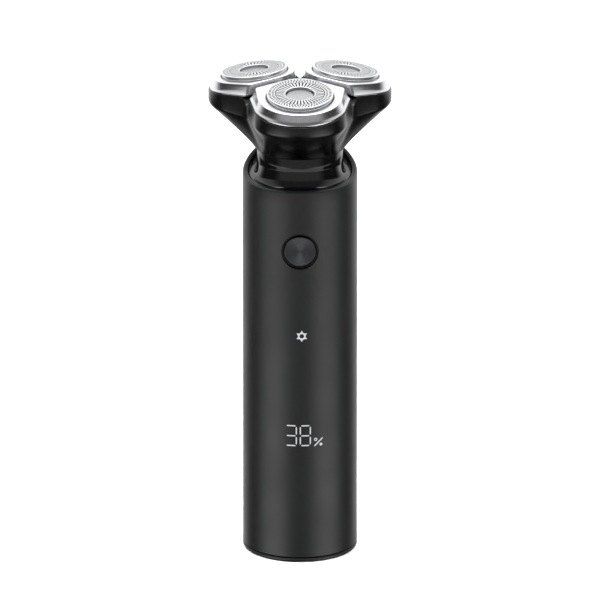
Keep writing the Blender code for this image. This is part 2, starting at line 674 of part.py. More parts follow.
def build_deck(azimuths, frames):
    """Deck under the bezels, with an opening over each cutter."""
    depth = BEZEL_HEIGHT + 2 * GAP
    rings = []
    for share in (1.0, 0.3):
        ring = []
        for azimuth in azimuths:
            radius = (skirt_radius(azimuth) - DECK_INSET) * share
            ring.append(polar(azimuth, radius, lobe_plane(azimuth, radius, depth)))
        rings.append(ring)
    deck = loft("head_deck", rings, "gloss_black", (0.0, 0.0, lobe_plane(0.0, 0.0, depth)))
    thicken(deck, BEZEL_WALL)
    for side, frame in frames.items():
        boolean(deck, rod(f"cut_deck_{side}", DECK_HOLE, -2 * depth, PAST, None, STEPS_MEDIUM, frame))


def build_head_floor():
    """Base plate, steel ring and gear plate with its pins' holes."""
    tube("head_base", HEAD_BASE_RADIUS, COUPLER_HOLE, HEAD_BASE, HEAD_BASE_TOP, "gloss_black")
    tube("head_steel_ring", STEEL_RING_RADIUS, MAGNET_INNER, HEAD_BASE_TOP + GAP, STEEL_RING_TOP, "steel")
    outline = []
    plate_steps = 48
    for step in range(plate_steps):
        azimuth = 30.0 + 360.0 * step / plate_steps
        x, y, _ = polar(azimuth, housing_radius(azimuth, PLATE_BOTTOM) - PLATE_INSET, 0.0)
        outline.append((x, y))
    plate = outlined("gear_plate", outline, PLATE_BOTTOM, PLATE_TOP, "inner_plastic")
    boolean(plate, rod("cut_plate_hub", PLATE_HOLE, PLATE_BOTTOM - PAST, PLATE_TOP + PAST, None))
    return plate


def build_gears(plate):
    """Sun gear, and for each lobe a drive gear on its pin, all in mesh."""
    sun_pitch = MODULE * SUN_TEETH / 2
    drive_pitch = MODULE * DRIVE_TEETH / 2
    outline = toothed_outline(SUN_TEETH, sun_pitch - TOOTH_LOW, sun_pitch + TOOTH_HIGH, TOOTH_ROOT_SHARE,
                              TOOTH_TIP_SHARE, math.radians(LOBES["front"]))
    sun = outlined("sun_gear", outline, GEAR_BOTTOM, GEAR_TOP, "gear_plastic")
    boolean(sun, rod("join_sun_hub", SUN_HUB_RADIUS, SUN_HUB_BOTTOM, GEAR_BOTTOM + PAST, None), "UNION")
    boolean(sun, rod("cut_sun_socket", SPINDLE_CUP, SUN_HUB_BOTTOM - PAST, SUN_SOCKET_TOP, None))
    # a gap between teeth faces the sun, half a pitch away from a tooth
    outline = toothed_outline(DRIVE_TEETH, drive_pitch - TOOTH_LOW, drive_pitch + TOOTH_HIGH,
                              TOOTH_ROOT_SHARE, TOOTH_TIP_SHARE, math.pi + math.pi / DRIVE_TEETH)
    for side, azimuth in LOBES.items():
        frame = gear_frame(azimuth)
        gear = outlined(f"drive_gear_{side}", outline, GEAR_BOTTOM, GEAR_TOP, "gear_plastic", frame)
        boss = rod(f"join_gear_boss_{side}", GEAR_BOSS_RADIUS, GEAR_TOP - PAST, GEAR_BOSS_TOP, None,
                   parent=frame)
        cup = rod(f"cut_gear_cup_{side}", SPINDLE_CUP, GEAR_TOP, GEAR_BOSS_TOP + PAST, None, parent=frame)
        seat = rod(f"cut_gear_pin_{side}", GEAR_PIN_RADIUS + GAP, PLATE_BOTTOM - PAST, GEAR_SEAT_TOP, None,
                   parent=frame)
        rod(f"gear_pin_{side}", GEAR_PIN_RADIUS, PLATE_BOTTOM, GEAR_PIN_TOP, "steel", parent=frame)
        boolean(gear, boss, "UNION")
        boolean(gear, cup)
        boolean(gear, seat)
        boolean(plate, seat)


def bezel_outline(radius):
    """Half outline of a bezel in its lobe's frame, from the outer end to the inner one."""
    arc_steps = 9
    outline = []
    for step in range(arc_steps + 1):
        angle = (math.pi / 2 - BEZEL_FLARE) * step / arc_steps
        outline.append((radius * math.cos(angle), radius * math.sin(angle)))
    start_x, start_y = outline[-1]
    steep = math.tan(math.radians(60))
    run = (steep * (LOBE_DISTANCE + start_x) - BEZEL_SLOT - start_y) / (
        math.sin(BEZEL_FLARE) + steep * math.cos(BEZEL_FLARE))
    outline.append((start_x - run * math.cos(BEZEL_FLARE), start_y + run * math.sin(BEZEL_FLARE)))
    apex_centre = BEZEL_SLOT / steep - LOBE_DISTANCE + APEX_RADIUS / math.sin(math.radians(60))
    apex_steps = 3
    for step in range(apex_steps + 1):
        angle = math.radians(150 + 30 * step / apex_steps)
        outline.append((apex_centre + APEX_RADIUS * math.cos(angle), APEX_RADIUS * math.sin(angle)))
    return outline


def build_bezel(side, frame):
    """Silver bezel: a flared skirt under a flat top with a round opening."""
    rings = []
    for radius, height in ((SKIRT_RADIUS, -BEZEL_HEIGHT), (BEZEL_RADIUS, 0.0)):
        half = bezel_outline(radius)
        whole = half + [(x, -y) for x, y in reversed(half[1:-1])]
        rings.append([(x, y, height) for x, y in whole])
    bezel = loft(f"bezel_{side}", rings, "silver", (0.0, 0.0, 0.0))
    bezel.parent = frame
    thicken(bezel, BEZEL_WALL)
    boolean(bezel, rod(f"cut_bezel_{side}", CAP_HOLE, -BEZEL_WALL - PAST, PAST, None, STEPS_MEDIUM, frame))


def build_cap(side, frame):
    """Shaving cap with its centre disc, the cutter under it and the spindle that turns it."""
    channel_inner, channel_outer = CAP_CHANNEL
    turned(f"shaving_cap_{side}", [
        (0.0, CAP_RECESS_FLOOR), (CAP_RECESS, CAP_RECESS_FLOOR), (CAP_RECESS, CAP_RISE),
        (CAP_RADIUS - CAP_EDGE, CAP_RISE), (CAP_RADIUS, CAP_RISE - CAP_EDGE), (CAP_RADIUS, CAP_FLANGE_TOP),
        (CAP_FLANGE, CAP_FLANGE_TOP), (CAP_FLANGE, CAP_FLANGE_BOTTOM), (channel_outer, CAP_FLANGE_BOTTOM),
        (channel_outer, CAP_CHANNEL_ROOF), (channel_inner, CAP_CHANNEL_ROOF), (channel_inner, CAP_FLOOR),
        (0.0, CAP_FLOOR),
    ], "steel", STEPS_MEDIUM, frame)
    turned(f"cap_centre_{side}", [
        (0.0, DISC_TOP), (DISC_RADIUS - CAP_EDGE, DISC_TOP), (DISC_RADIUS, DISC_TOP - CAP_EDGE),
        (DISC_RADIUS, DISC_BOTTOM), (0.0, DISC_BOTTOM),
    ], "steel", STEPS_SMALL, frame)
    cutter = turned(f"cutter_{side}", [
        (0.0, BLADE_ROOT), (BLADE_INNER, BLADE_ROOT), (BLADE_INNER, BLADE_TOP), (BLADE_OUTER, BLADE_TOP),
        (BLADE_OUTER, CUTTER_BOTTOM), (CUTTER_HUB_RADIUS, CUTTER_BOTTOM),
        (CUTTER_HUB_RADIUS, CUTTER_HUB_BOTTOM), (0.0, CUTTER_HUB_BOTTOM),
    ], "steel", STEPS_MEDIUM, frame)
    slots = toothed_outline(BLADES, BLADE_SLOT_INNER, BLADE_OUTER + PAST, *BLADE_SLOT_SHARES)
    slot_floor = BLADE_ROOT + 0.2 * MM
    boolean(cutter, outlined(f"cut_blades_{side}", slots, slot_floor, BLADE_TOP + PAST, None, frame))
    ball = SPINDLE_BALL - SPINDLE_RADIUS
    turned(f"drive_spindle_{side}", [
        (0.0, SPINDLE_TOP), (SPINDLE_RADIUS, SPINDLE_TOP), (SPINDLE_RADIUS, SPINDLE_BOTTOM + 5 * ball),
        (SPINDLE_BALL, SPINDLE_BOTTOM + 3 * ball), (SPINDLE_BALL, SPINDLE_BOTTOM + ball),
        (SPINDLE_RADIUS, SPINDLE_BOTTOM), (0.0, SPINDLE_BOTTOM),
    ], "gear_plastic", STEPS_SMALL, frame)


def build_head():
    """Shaving head, from its base plate to the caps."""
    azimuth_steps = 60
    azimuths = [360.0 * step / azimuth_steps for step in range(azimuth_steps)]
    frames = {side: lobe_frame(azimuth) for side, azimuth in LOBES.items()}
    build_housing(azimuths)
    build_deck(azimuths, frames)
    build_gears(build_head_floor())
    for side, frame in frames.items():
        build_bezel(side, frame)
        build_cap(side, frame)


def main():
    """Build the whole shaver."""
    clear_scene()
    make_collections()
    make_materials()
    build_shell()
    build_collar()
    build_button()
    build_chassis()
    build_electronics()
    build_socket()
    build_motor()
    build_head()


main()
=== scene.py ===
"""Looks of the rotary electric shaver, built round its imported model.

The handle, the shaving head, the lit symbols and the studio are each a class. Lengths are
written in millimetres and turned to metres with MM. +Z is up and the front faces -Y.
"""
from __future__ import annotations

import json
import logging
import math
from collections.abc import Callable, Sequence
from dataclasses import dataclass, replace
from enum import Enum

import bmesh
import bpy
from mathutils import Matrix, Vector


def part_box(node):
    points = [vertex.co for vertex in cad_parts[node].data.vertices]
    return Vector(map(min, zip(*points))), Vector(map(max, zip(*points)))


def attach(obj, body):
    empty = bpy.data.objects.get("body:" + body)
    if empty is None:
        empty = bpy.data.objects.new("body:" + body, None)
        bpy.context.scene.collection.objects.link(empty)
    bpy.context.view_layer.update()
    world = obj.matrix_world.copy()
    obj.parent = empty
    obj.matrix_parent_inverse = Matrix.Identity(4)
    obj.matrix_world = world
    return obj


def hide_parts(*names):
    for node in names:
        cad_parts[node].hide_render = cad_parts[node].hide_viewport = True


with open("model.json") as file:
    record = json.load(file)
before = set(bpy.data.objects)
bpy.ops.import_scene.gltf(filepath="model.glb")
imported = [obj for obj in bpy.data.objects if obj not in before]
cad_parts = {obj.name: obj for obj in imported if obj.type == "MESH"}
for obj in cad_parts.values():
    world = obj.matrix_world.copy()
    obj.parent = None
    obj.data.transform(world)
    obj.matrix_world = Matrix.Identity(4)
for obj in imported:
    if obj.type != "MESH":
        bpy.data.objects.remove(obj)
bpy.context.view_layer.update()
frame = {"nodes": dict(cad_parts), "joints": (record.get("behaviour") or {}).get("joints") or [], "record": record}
log = logging.getLogger("shaver")

MM = 0.001
TINY = 0.001 * MM  # points closer than this are one point
STEPS_ROUND = 192  # facets of a large turned piece
STEPS_SMALL = 64  # facets of a small turned piece
SMOOTH_ANGLE = math.radians(32.0)
NOISE_SPAN = {"From Min": 0.3, "From Max": 0.7}  # where nearly all of a noise pattern's values lie
GRAIN_SPAN = {"From Min": 0.35, "From Max": 0.65}  # a narrower span, which sharpens grains
MARK_TONE = "#1c1c1e"  # tone at the bottom of a tool mark in metal

Point = tuple[float, float]
Corner = tuple[float, float, float]
Ring = list[Vector]
Item = bpy.types.Object
Tree = bpy.types.NodeTree
Node = bpy.types.Node
Socket = bpy.types.NodeSocket


class Body(Enum):
    """Moving bodies that new pieces ride on."""

    HANDLE = "handle"
    BUTTON = "button"
    DRIVE = "motor_drive"
    HEAD = "head"


class Slot(Enum):
    """Material slots of the record."""

    SHELL = "handle_shell"
    TRIM = "gloss_trim"
    HEAD = "head_black"
    BEZEL = "bezel_silver"
    CAP = "cap_steel"
    STEEL = "steel"
    BUTTON = "button_metal"
    RUBBER = "rubber"
    INNER = "inner_plastic"
    GEAR = "gear_plastic"
    CELL = "cell_sleeve"
    BOARD = "board"
    LIGHT = "light_guide"
    BRASS = "brass"


class Side(Enum):
    """The three lobes of the shaving head."""

    FRONT = "front"
    RIGHT = "right"
    LEFT = "left"


# ---------------------------------------------------------------- materials

def linear(code: str) -> tuple[float, float, float, float]:
    """Turn an sRGB hex colour to linear RGBA.

    Args:
        code: colour such as "#1a1b1c".

    Returns:
        Red, green, blue and an alpha of 1.
    """
    channels = [int(code[place:place + 2], 16) / 255 for place in (1, 3, 5)]
    red, green, blue = [
        channel / 12.92 if channel <= 0.04045 else ((channel + 0.055) / 1.055) ** 2.4
        for channel in channels
    ]
    return (red, green, blue, 1.0)


def eased(share: float) -> float:
    """Turn a share that rises evenly from 0 to 1 into one that starts and ends gently."""
    return share * share * (3 - 2 * share)


def per(size: float) -> float:
    """Texture scale that repeats once in a size in millimetres."""
    return 1.0 / (size * MM)


def add_node(
    tree: Tree, kind: str, values: dict[str | int, object] | None = None,
    links: dict[str | int, Socket] | None = None, **settings: object,
) -> Node:
    """Add a node with its settings, values and links.

    Args:
        tree: tree that gets the node.
        kind: Blender's name of the node type.
        values: constant value of each named or numbered input.
        links: socket that feeds each named or numbered input.
        settings: properties of the node itself.

    Returns:
        The new node.
    """
    node = tree.nodes.new(kind)
    for name, value in settings.items():
        setattr(node, name, value)
    for name, value in (values or {}).items():
        node.inputs[name].default_value = value
    for name, socket in (links or {}).items():
        tree.links.new(socket, node.inputs[name])
    return node


def spread(
    tree: Tree, pattern: Socket, low: float, high: float, span: dict[str, float] = NOISE_SPAN
) -> Socket:
    """Stretch a pattern's values over a range.

    Args:
        tree: tree that gets the node.
        pattern: the pattern's values.
        low: result at the bottom of the span.
        high: result at its top.
        span: where the pattern's values lie.

    Returns:
        The stretched values.
    """
    limits = {**span, "To Min": low, "To Max": high}
    return add_node(tree, "ShaderNodeMapRange", limits, {"Value": pattern}).outputs[0]


def fade(tree: Tree, height: Socket, low: float, high: float, least: float = 0.0) -> Socket:
    """Share that rises softly to 1 between two heights, from 0 or from a least value.

    Args:
        tree: tree that gets the node.
        height: Z of a direction.
        low: height at which the rise starts.
        high: height at which it ends.
        least: share below the rise.

    Returns:
        The share.
    """
    limits = {"From Min": low, "From Max": high, "To Min": least, "To Max": 1.0}
    return add_node(tree, "ShaderNodeMapRange", limits, {"Value": height},
                    interpolation_type="SMOOTHSTEP").outputs[0]


def blend(tree: Tree, share: Socket, one: Socket, two: Socket) -> Socket:
    """Mix two colours by a share, from the first at 0 to the second at 1."""
    node = add_node(tree, "ShaderNodeMix", None, {0: share, 6: one, 7: two}, data_type="RGBA")
    return node.outputs[2]


@dataclass(frozen=True)
class Finish:
    """A material: what it is made of, how its surface was made, and its shader's constants."""

    name: str
    colour: str
    roughness: float
    metallic: float = 0.0
    specular: float = 0.5
    coat: float = 0.0
    coat_roughness: float = 0.04

    def material(self) -> bpy.types.Material:
        """Make the material, or fetch it if it is already made.

        Returns:
            The material, with its surface detail.
        """
        made = bpy.data.materials.get(self.name)
        if made is not None:
            return made
        material = bpy.data.materials.new(self.name)
        material.use_nodes = True
        tree = material.node_tree
        shader = tree.nodes["Principled BSDF"]
        shader.inputs["Base Color"].default_value = linear(self.colour)
        shader.inputs["Roughness"].default_value = self.roughness
        shader.inputs["Metallic"].default_value = self.metallic
        shader.inputs["Specular IOR Level"].default_value = self.specular
        shader.inputs["Coat Weight"].default_value = self.coat
        shader.inputs["Coat Roughness"].default_value = self.coat_roughness
        self.dress(tree, shader)
        return material

    def dress(self, tree: Tree, shader: Node) -> None:
        """Add the surface detail; each kind of surface has its own."""
        raise NotImplementedError

    def mark(
        self, tree: Tree, shader: Node, pattern: Socket, deep: str, most: float, relief: float,
        strength: float, span: dict[str, float] = NOISE_SPAN,
    ) -> None:
        """Let a pattern raise the surface and darken its hollows.

        Args:
            tree: the material's tree.
            shader: its Principled shader.
            pattern: the pattern's values.
            deep: tone in the hollows.
            most: largest share of that tone.
            relief: the pattern's height in millimetres.
            strength: how strongly the relief shows.
            span: where the pattern's values lie.
        """
        share = spread(tree, pattern, most, 0.0, span)
        mix = add_node(tree, "ShaderNodeMix", {6: linear(self.colour), 7: linear(deep)}, {0: share},
                       data_type="RGBA")
        bump = add_node(tree, "ShaderNodeBump", {"Strength": strength, "Distance": relief * MM},
                        {"Height": pattern})
        tree.links.new(mix.outputs[2], shader.inputs["Base Color"])
        tree.links.new(bump.outputs[0], shader.inputs["Normal"])

    def wander(self, tree: Tree, shader: Node, pattern: Socket, by: float) -> None:
        """Let the roughness wander with a pattern, by some amount both ways."""
        gloss = spread(tree, pattern, self.roughness - by, self.roughness + by)
        tree.links.new(gloss, shader.inputs["Roughness"])


@dataclass(frozen=True)
class Grained(Finish):
    """Moulded, painted, blasted or cast surface: an even grain with slow drifts of gloss and tone."""

    grain: float = 0.3  # width of a grain in mm
    relief: float = 0.01  # height of a grain in mm
    drift: float = 12.0  # width of a gloss patch in mm
    gloss_drift: float = 0.04  # how far roughness wanders
    deep: str = "#000000"  # tone in the hollows of the grain
    tone: float = 0.2  # share of that tone

    def dress(self, tree: Tree, shader: Node) -> None:
        """Add the grain's relief and tone, and patches of slightly different gloss.

        Args:
            tree: the material's tree.
            shader: its Principled shader.
        """
        place = add_node(tree, "ShaderNodeTexCoord").outputs["Object"]
        grain = add_node(tree, "ShaderNodeTexNoise", {"Scale": per(self.grain), "Detail": 2.0},
                         {"Vector": place}).outputs["Fac"]
        patches = add_node(tree, "ShaderNodeTexNoise", {"Scale": per(self.drift), "Detail": 3.0},
                           {"Vector": place}).outputs["Fac"]
        self.mark(tree, shader, grain, self.deep, self.tone, self.relief, 0.6, GRAIN_SPAN)
        self.wander(tree, shader, patches, self.gloss_drift)


@dataclass(frozen=True)
class Ringed(Finish):
    """Turned, spun or ground metal: fine irregular rings round one axis."""

    spacing: float = 0.2  # distance between rings in mm
    relief: float = 0.004
    contrast: float = 0.25  # how much darker the deepest ring is
    gloss_drift: float = 0.08
    anisotropy: float = 0.0
    centre: tuple[float, float, float] = (0.0, 0.0, 0.0)
    turn: tuple[float, float, float] = (0.0, 0.0, 0.0)

    def dress(self, tree: Tree, shader: Node) -> None:
        """Add rings round the axis, in relief, tone and gloss.

        Args:
            tree: the material's tree.
            shader: its Principled shader.
        """
        place = add_node(tree, "ShaderNodeTexCoord").outputs["Object"]
        local = add_node(tree, "ShaderNodeMapping", {"Location": self.centre, "Rotation": self.turn},
                         {"Vector": place}, vector_type="TEXTURE")
        flat = add_node(tree, "ShaderNodeVectorMath", {1: (1.0, 1.0, 0.0)}, {0: local.outputs[0]},
                        operation="MULTIPLY")
        radius = add_node(tree, "ShaderNodeVectorMath", None, {0: flat.outputs[0]}, operation="LENGTH")
        rings = add_node(tree, "ShaderNodeTexNoise", {"Scale": per(self.spacing), "Detail": 3.0},
                         {"W": radius.outputs["Value"]}, noise_dimensions="1D").outputs["Fac"]
        self.mark(tree, shader, rings, MARK_TONE, self.contrast, self.relief, 0.5)
        self.wander(tree, shader, rings, self.gloss_drift)
        shader.inputs["Anisotropic"].default_value = self.anisotropy
        if self.anisotropy:
            axis = Matrix.Rotation(self.turn[0], 3, "X") @ Vector((0.0, 0.0, 1.0))
            offset = add_node(tree, "ShaderNodeVectorMath", {1: self.centre}, {0: place},
                              operation="SUBTRACT")
            tangent = add_node(tree, "ShaderNodeVectorMath", {1: tuple(axis)}, {0: offset.outputs[0]},
                               operation="CROSS_PRODUCT")
            tree.links.new(tangent.outputs[0], shader.inputs["Tangent"])


@dataclass(frozen=True)
class Brushed(Finish):
    """Metal drawn along one direction: long fine streaks."""

    streak: float = 0.12  # width of a streak in mm
    stretch: float = 40.0  # how many times longer a streak is than it is wide
    relief: float = 0.003
    contrast: float = 0.15

    def dress(self, tree: Tree, shader: Node) -> None:
        """Add the streaks, in relief and tone.

        Args:
            tree: the material's tree.
            shader: its Principled shader.
        """
        place = add_node(tree, "ShaderNodeTexCoord").outputs["Object"]
        drawn = add_node(tree, "ShaderNodeMapping", {"Scale": (1.0, 1.0, 1.0 / self.stretch)},
                         {"Vector": place})
        streaks = add_node(tree, "ShaderNodeTexNoise", {"Scale": per(self.streak), "Detail": 2.0},
                           {"Vector": drawn.outputs[0]}).outputs["Fac"]
        self.mark(tree, shader, streaks, MARK_TONE, self.contrast, self.relief, 0.4)


@dataclass(frozen=True)
class Lit(Finish):
    """Light guide behind a window in the paint: an even glow, faintly broken by its grain."""

    glow: float = 0.6
    grain: float = 0.5  # width of a diffuser grain in mm
    bright: str = "#f2f4f5"
    dim: str = "#b9bcbf"

    def dress(self, tree: Tree, shader: Node) -> None:
        """Add the glow, broken a little by the diffuser's grain.

        Args:
            tree: the material's tree.
            shader: its Principled shader.
        """
        place = add_node(tree, "ShaderNodeTexCoord").outputs["Object"]
        grain = add_node(tree, "ShaderNodeTexNoise", {"Scale": per(self.grain), "Detail": 1.0},
                         {"Vector": place}).outputs["Fac"]
        light = add_node(tree, "ShaderNodeMix",
                         {6: linear(self.bright), 7: linear(self.dim)}, {0: grain}, data_type="RGBA")
        tree.links.new(light.outputs[2], shader.inputs["Emission Color"])
        shader.inputs["Emission Strength"].default_value = self.glow


# Soft-touch paint on an ABS tube: deep black-grey, silky, with a grain too fine to count.
SOFT_TOUCH_PAINT = Grained("soft_touch_paint_on_abs", "#0e0f10", 0.40, specular=0.48, grain=0.25,
                           relief=0.006, drift=15.0, gloss_drift=0.03, deep="#0d0e0f", tone=0.5)
# Injection-moulded polycarbonate, mirror polished: reflections stay sharp in a near-black depth.
PIANO_BLACK = Grained("piano_black_polycarbonate", "#040405", 0.05, grain=3.0, relief=0.004,
                      drift=20.0, gloss_drift=0.02, deep="#020202", tone=0.3)
# Moulded ABS with a gloss tool finish: black, with slightly softened reflections.
GLOSS_ABS = Grained("gloss_moulded_abs", "#060607", 0.22, specular=0.32, grain=1.6, relief=0.003,
                    drift=14.0, gloss_drift=0.03, deep="#030303", tone=0.4)
# Satin electroplate on ABS: bright silver with soft-edged reflections and faint streaks.
SATIN_PLATE = Brushed("satin_chrome_plate", "#d2d2d4", 0.24, 1.0, streak=0.18, stretch=14.0)
# Painted shade: a dark finish on the floors and walls of the shaving slots and on the ring groove. It stands in
# for the shade in those gaps, where light enters but hardly leaves.
SLOT_SHADE = Grained("painted_slot_shade", "#1a1a1b", 0.6, 0.6, grain=0.3, deep="#0a0a0a", tone=0.5)
# Steel blasted with glass beads: even grey sparkle without a direction. Its grain is drawn
# coarser than the real 0.08 mm so that it shows.
BLASTED_STEEL = Grained("bead_blasted_steel", "#a2a3a5", 0.42, 1.0, grain=0.35, relief=0.02,
                        drift=6.0, deep="#5f6062", tone=0.55)
# Nitrile rubber: flat black with a dusty bloom.
NITRILE_RUBBER = Grained("moulded_nitrile_rubber", "#0c0c0c", 0.75, specular=0.3, grain=0.6,
                         relief=0.02, deep="#161616", tone=0.5)
# Glass-filled nylon: dull grey, flecked by its fibres.
GLASS_NYLON = Grained("glass_filled_nylon", "#9a9c9f", 0.55, grain=0.5, relief=0.01, drift=10.0,
                      deep="#7f8184", tone=0.6)
# Natural acetal: milky, waxy white.
ACETAL = Grained("machined_acetal", "#dedcd4", 0.42, grain=0.4, relief=0.006, drift=8.0,
                 deep="#c8c6bd", tone=0.5)
# Solder mask over glass-epoxy: green lacquer with the weave just showing.
SOLDER_MASK = Grained("solder_mask_on_glass_epoxy", "#0f5a34", 0.30, grain=0.7, relief=0.01,
                      deep="#0b3f26", tone=0.7, coat=0.4)
# Heat-shrunk PVC sleeve: blue film with slow ripples.
SHRINK_SLEEVE = Grained("heat_shrunk_pvc", "#2a6fae", 0.28, grain=4.0, relief=0.05, drift=9.0,
                        deep="#235f98", tone=0.5)
# Nickel-plated steel sheet: grey, drawn along its length.
NICKEL_STEEL = Brushed("nickel_plated_steel", "#a9aaac", 0.32, 1.0)
# Turned brass: warm yellow with tool marks.
TURNED_BRASS = Ringed("turned_brass", "#c9a351", 0.30, 1.0, spacing=0.15)
# Epoxy moulding compound on chips and switches: near-black, finely pitted.
MOULDED_EPOXY = Grained("moulded_epoxy", "#101011", 0.5, grain=0.3, relief=0.01, deep="#1a1a1a", tone=0.4)
# Opal polycarbonate light guide, seen only inside the handle.
OPAL_GUIDE = Grained("opal_polycarbonate", "#e2e4e6", 0.35, grain=0.8, deep="#cfd2d5", tone=0.5)
# Windows of the display while it is on: a cool grey-white light.
LIT_WINDOW = Lit("lit_display_window", "#3a3c3e", 0.5, glow=0.85)

CAD_FINISHES = {
    Slot.SHELL: SOFT_TOUCH_PAINT, Slot.TRIM: MOULDED_EPOXY, Slot.HEAD: GLOSS_ABS,
    Slot.BEZEL: SATIN_PLATE, Slot.CAP: BLASTED_STEEL, Slot.STEEL: NICKEL_STEEL,
    Slot.BUTTON: NICKEL_STEEL, Slot.RUBBER: NITRILE_RUBBER, Slot.INNER: GLASS_NYLON,
    Slot.GEAR: ACETAL, Slot.CELL: SHRINK_SLEEVE, Slot.BOARD: SOLDER_MASK, Slot.LIGHT: OPAL_GUIDE,
    Slot.BRASS: TURNED_BRASS,
}


# ---------------------------------------------------------------- bench

def box_mm(node: str) -> tuple[Vector, Vector]:
    """Lowest and highest corner of a CAD node, in millimetres."""
    low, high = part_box(node)
    return Vector(low) / MM, Vector(high) / MM


def start(item_name: str) -> Item:
    """Name the primitive that was just added and open it in edit mode, all selected.

    Args:
        item_name: name of the piece and of its mesh.

    Returns:
        The piece.
    """
    item = bpy.context.object
    item.name = item_name
    item.data.name = item_name
    bpy.ops.object.mode_set(mode="EDIT")
    bpy.ops.mesh.select_mode(type="VERT")
    bpy.ops.mesh.select_all(action="SELECT")
    return item


def close_up(item: Item) -> Item:
    """Merge doubles, point all faces outwards, leave edit mode and shade the piece.

    Args:
        item: piece in edit mode.

    Returns:
        The same piece.
    """
    bpy.ops.mesh.select_all(action="SELECT")
    bpy.ops.mesh.remove_doubles(threshold=TINY)
    bpy.ops.mesh.normals_make_consistent(inside=False)
    bpy.ops.object.mode_set(mode="OBJECT")
    bpy.ops.object.shade_smooth_by_angle(angle=SMOOTH_ANGLE)
    return item


def pick_faces(item: Item, test: Callable[[Vector, Vector], bool]) -> None:
    """Select the faces whose centre, in millimetres, and normal pass a test.

    Args:
        item: piece in edit mode.
        test: takes a face's centre and normal.
    """
    bpy.ops.mesh.select_mode(type="FACE")
    bpy.ops.mesh.select_all(action="DESELECT")
    shape = bmesh.from_edit_mesh(item.data)
    for face in shape.faces:
        face.select_set(test(face.calc_center_median() / MM, face.normal))
    bmesh.update_edit_mesh(item.data)


def pick_edges(item: Item, test: Callable[[Vector, Vector], bool]) -> None:
    """Select the edges whose two ends, in millimetres, pass a test.

    Args:
        item: piece in edit mode.
        test: takes an edge's two ends.
    """
    bpy.ops.mesh.select_mode(type="EDGE")
    bpy.ops.mesh.select_all(action="DESELECT")
    shape = bmesh.from_edit_mesh(item.data)
    for edge in shape.edges:
        edge.select_set(test(edge.verts[0].co / MM, edge.verts[1].co / MM))
    bmesh.update_edit_mesh(item.data)


def polar(radius: float, azimuth: float, height: float) -> Vector:
    """Point at a distance from the Z axis, in a direction given in degrees."""
    angle = math.radians(azimuth)
    return Vector((radius * math.cos(angle), radius * math.sin(angle), height))


def rounded(corners: Sequence[Corner], closed: bool = True, steps: int = 5) -> list[Point]:
    """Round the corners of a profile.

    Args:
        corners: (radius, height, fillet) of each corner, in millimetres.
        closed: whether the last corner joins the first.
        steps: straight pieces in each fillet.

    Returns:
        (radius, height) points; a closed profile ends on its first point.
    """
    points: list[Point] = []
    count = len(corners)
    for index, (radius, height, fillet) in enumerate(corners):
        end = not closed and index in (0, count - 1)
        if fillet == 0 or end:
            points.append((radius, height))
            continue
        corner = Vector((radius, height))
        before = (Vector(corners[index - 1][:2]) - corner).normalized()
        after = (Vector(corners[(index + 1) % count][:2]) - corner).normalized()
        half = before.angle(after) / 2
        middle = corner + (before + after).normalized() * (fillet / math.sin(half))
        first = corner + before * (fillet / math.tan(half)) - middle
        sweep = math.atan2(first.x, first.y)
        last = corner + after * (fillet / math.tan(half)) - middle
        change = (math.atan2(last.x, last.y) - sweep + math.pi) % (2 * math.pi) - math.pi
        for step in range(steps + 1):
            angle = sweep + change * step / steps
            points.append((middle.x + fillet * math.sin(angle), middle.y + fillet * math.cos(angle)))
    if closed:
        points.append(points[0])
    return points


def turned(name: str, profile: Sequence[Point], steps: int = STEPS_ROUND) -> Item:
    """Draw a profile point by point and spin it round the Z axis.

    Args:
        name: name of the piece.
        profile: (radius, height) points in millimetres.
        steps: facets round the axis.

    Returns:
        The turned piece, upright at the origin.
    """
    bpy.ops.object.select_all(action="DESELECT")
    bpy.ops.mesh.primitive_plane_add(size=MM)
    item = start(name)
    bpy.ops.mesh.merge(type="CENTER")
    radius, height = profile[0]
    bpy.ops.transform.translate(value=(radius * MM, 0.0, height * MM))
    for (radius, height), (next_radius, next_height) in zip(profile, profile[1:]):
        move = ((next_radius - radius) * MM, 0.0, (next_height - height) * MM)
        bpy.ops.mesh.extrude_vertices_move(TRANSFORM_OT_translate={"value": move})
    bpy.ops.mesh.select_all(action="SELECT")
    bpy.ops.mesh.remove_doubles(threshold=TINY)
    bpy.ops.mesh.spin(steps=steps, angle=2 * math.pi, center=(0.0, 0.0, 0.0), axis=(0.0, 0.0, 1.0))
    return close_up(item)


def settle(item: Item, ring: Ring) -> None:
    """Move the selected ring of points to its places.

    Args:
        item: piece in edit mode.
        ring: place of each point, in millimetres.
    """
    shape = bmesh.from_edit_mesh(item.data)
    station = shape.verts.layers.int["station"]
    for vertex in shape.verts:
        if vertex.select:
            vertex.co = ring[vertex[station]] * MM
    bmesh.update_edit_mesh(item.data)


def lofted(name: str, rings: Sequence[Ring], pole: bool = False) -> Item:
    """Extrude a circle from ring to ring, fitting each to its outline.

    Args:
        name: name of the piece.
        rings: rings of equal length; repeating the first one last closes the piece.
        pole: whether the last ring shrinks to one point.

    Returns:
        The lofted piece.
    """
    bpy.ops.object.select_all(action="DESELECT")
    bpy.ops.mesh.primitive_circle_add(vertices=len(rings[0]), radius=MM)
    item = start(name)
    shape = bmesh.from_edit_mesh(item.data)
    station = shape.verts.layers.int.new("station")
    for index, vertex in enumerate(shape.verts):
        vertex[station] = index
    settle(item, rings[0])
    for ring in rings[1:]:
        bpy.ops.mesh.extrude_edges_move()
        settle(item, ring)
    if pole:
        bpy.ops.mesh.merge(type="CENTER")
    close_up(item)
    item.data.attributes.remove(item.data.attributes["station"])
    return item


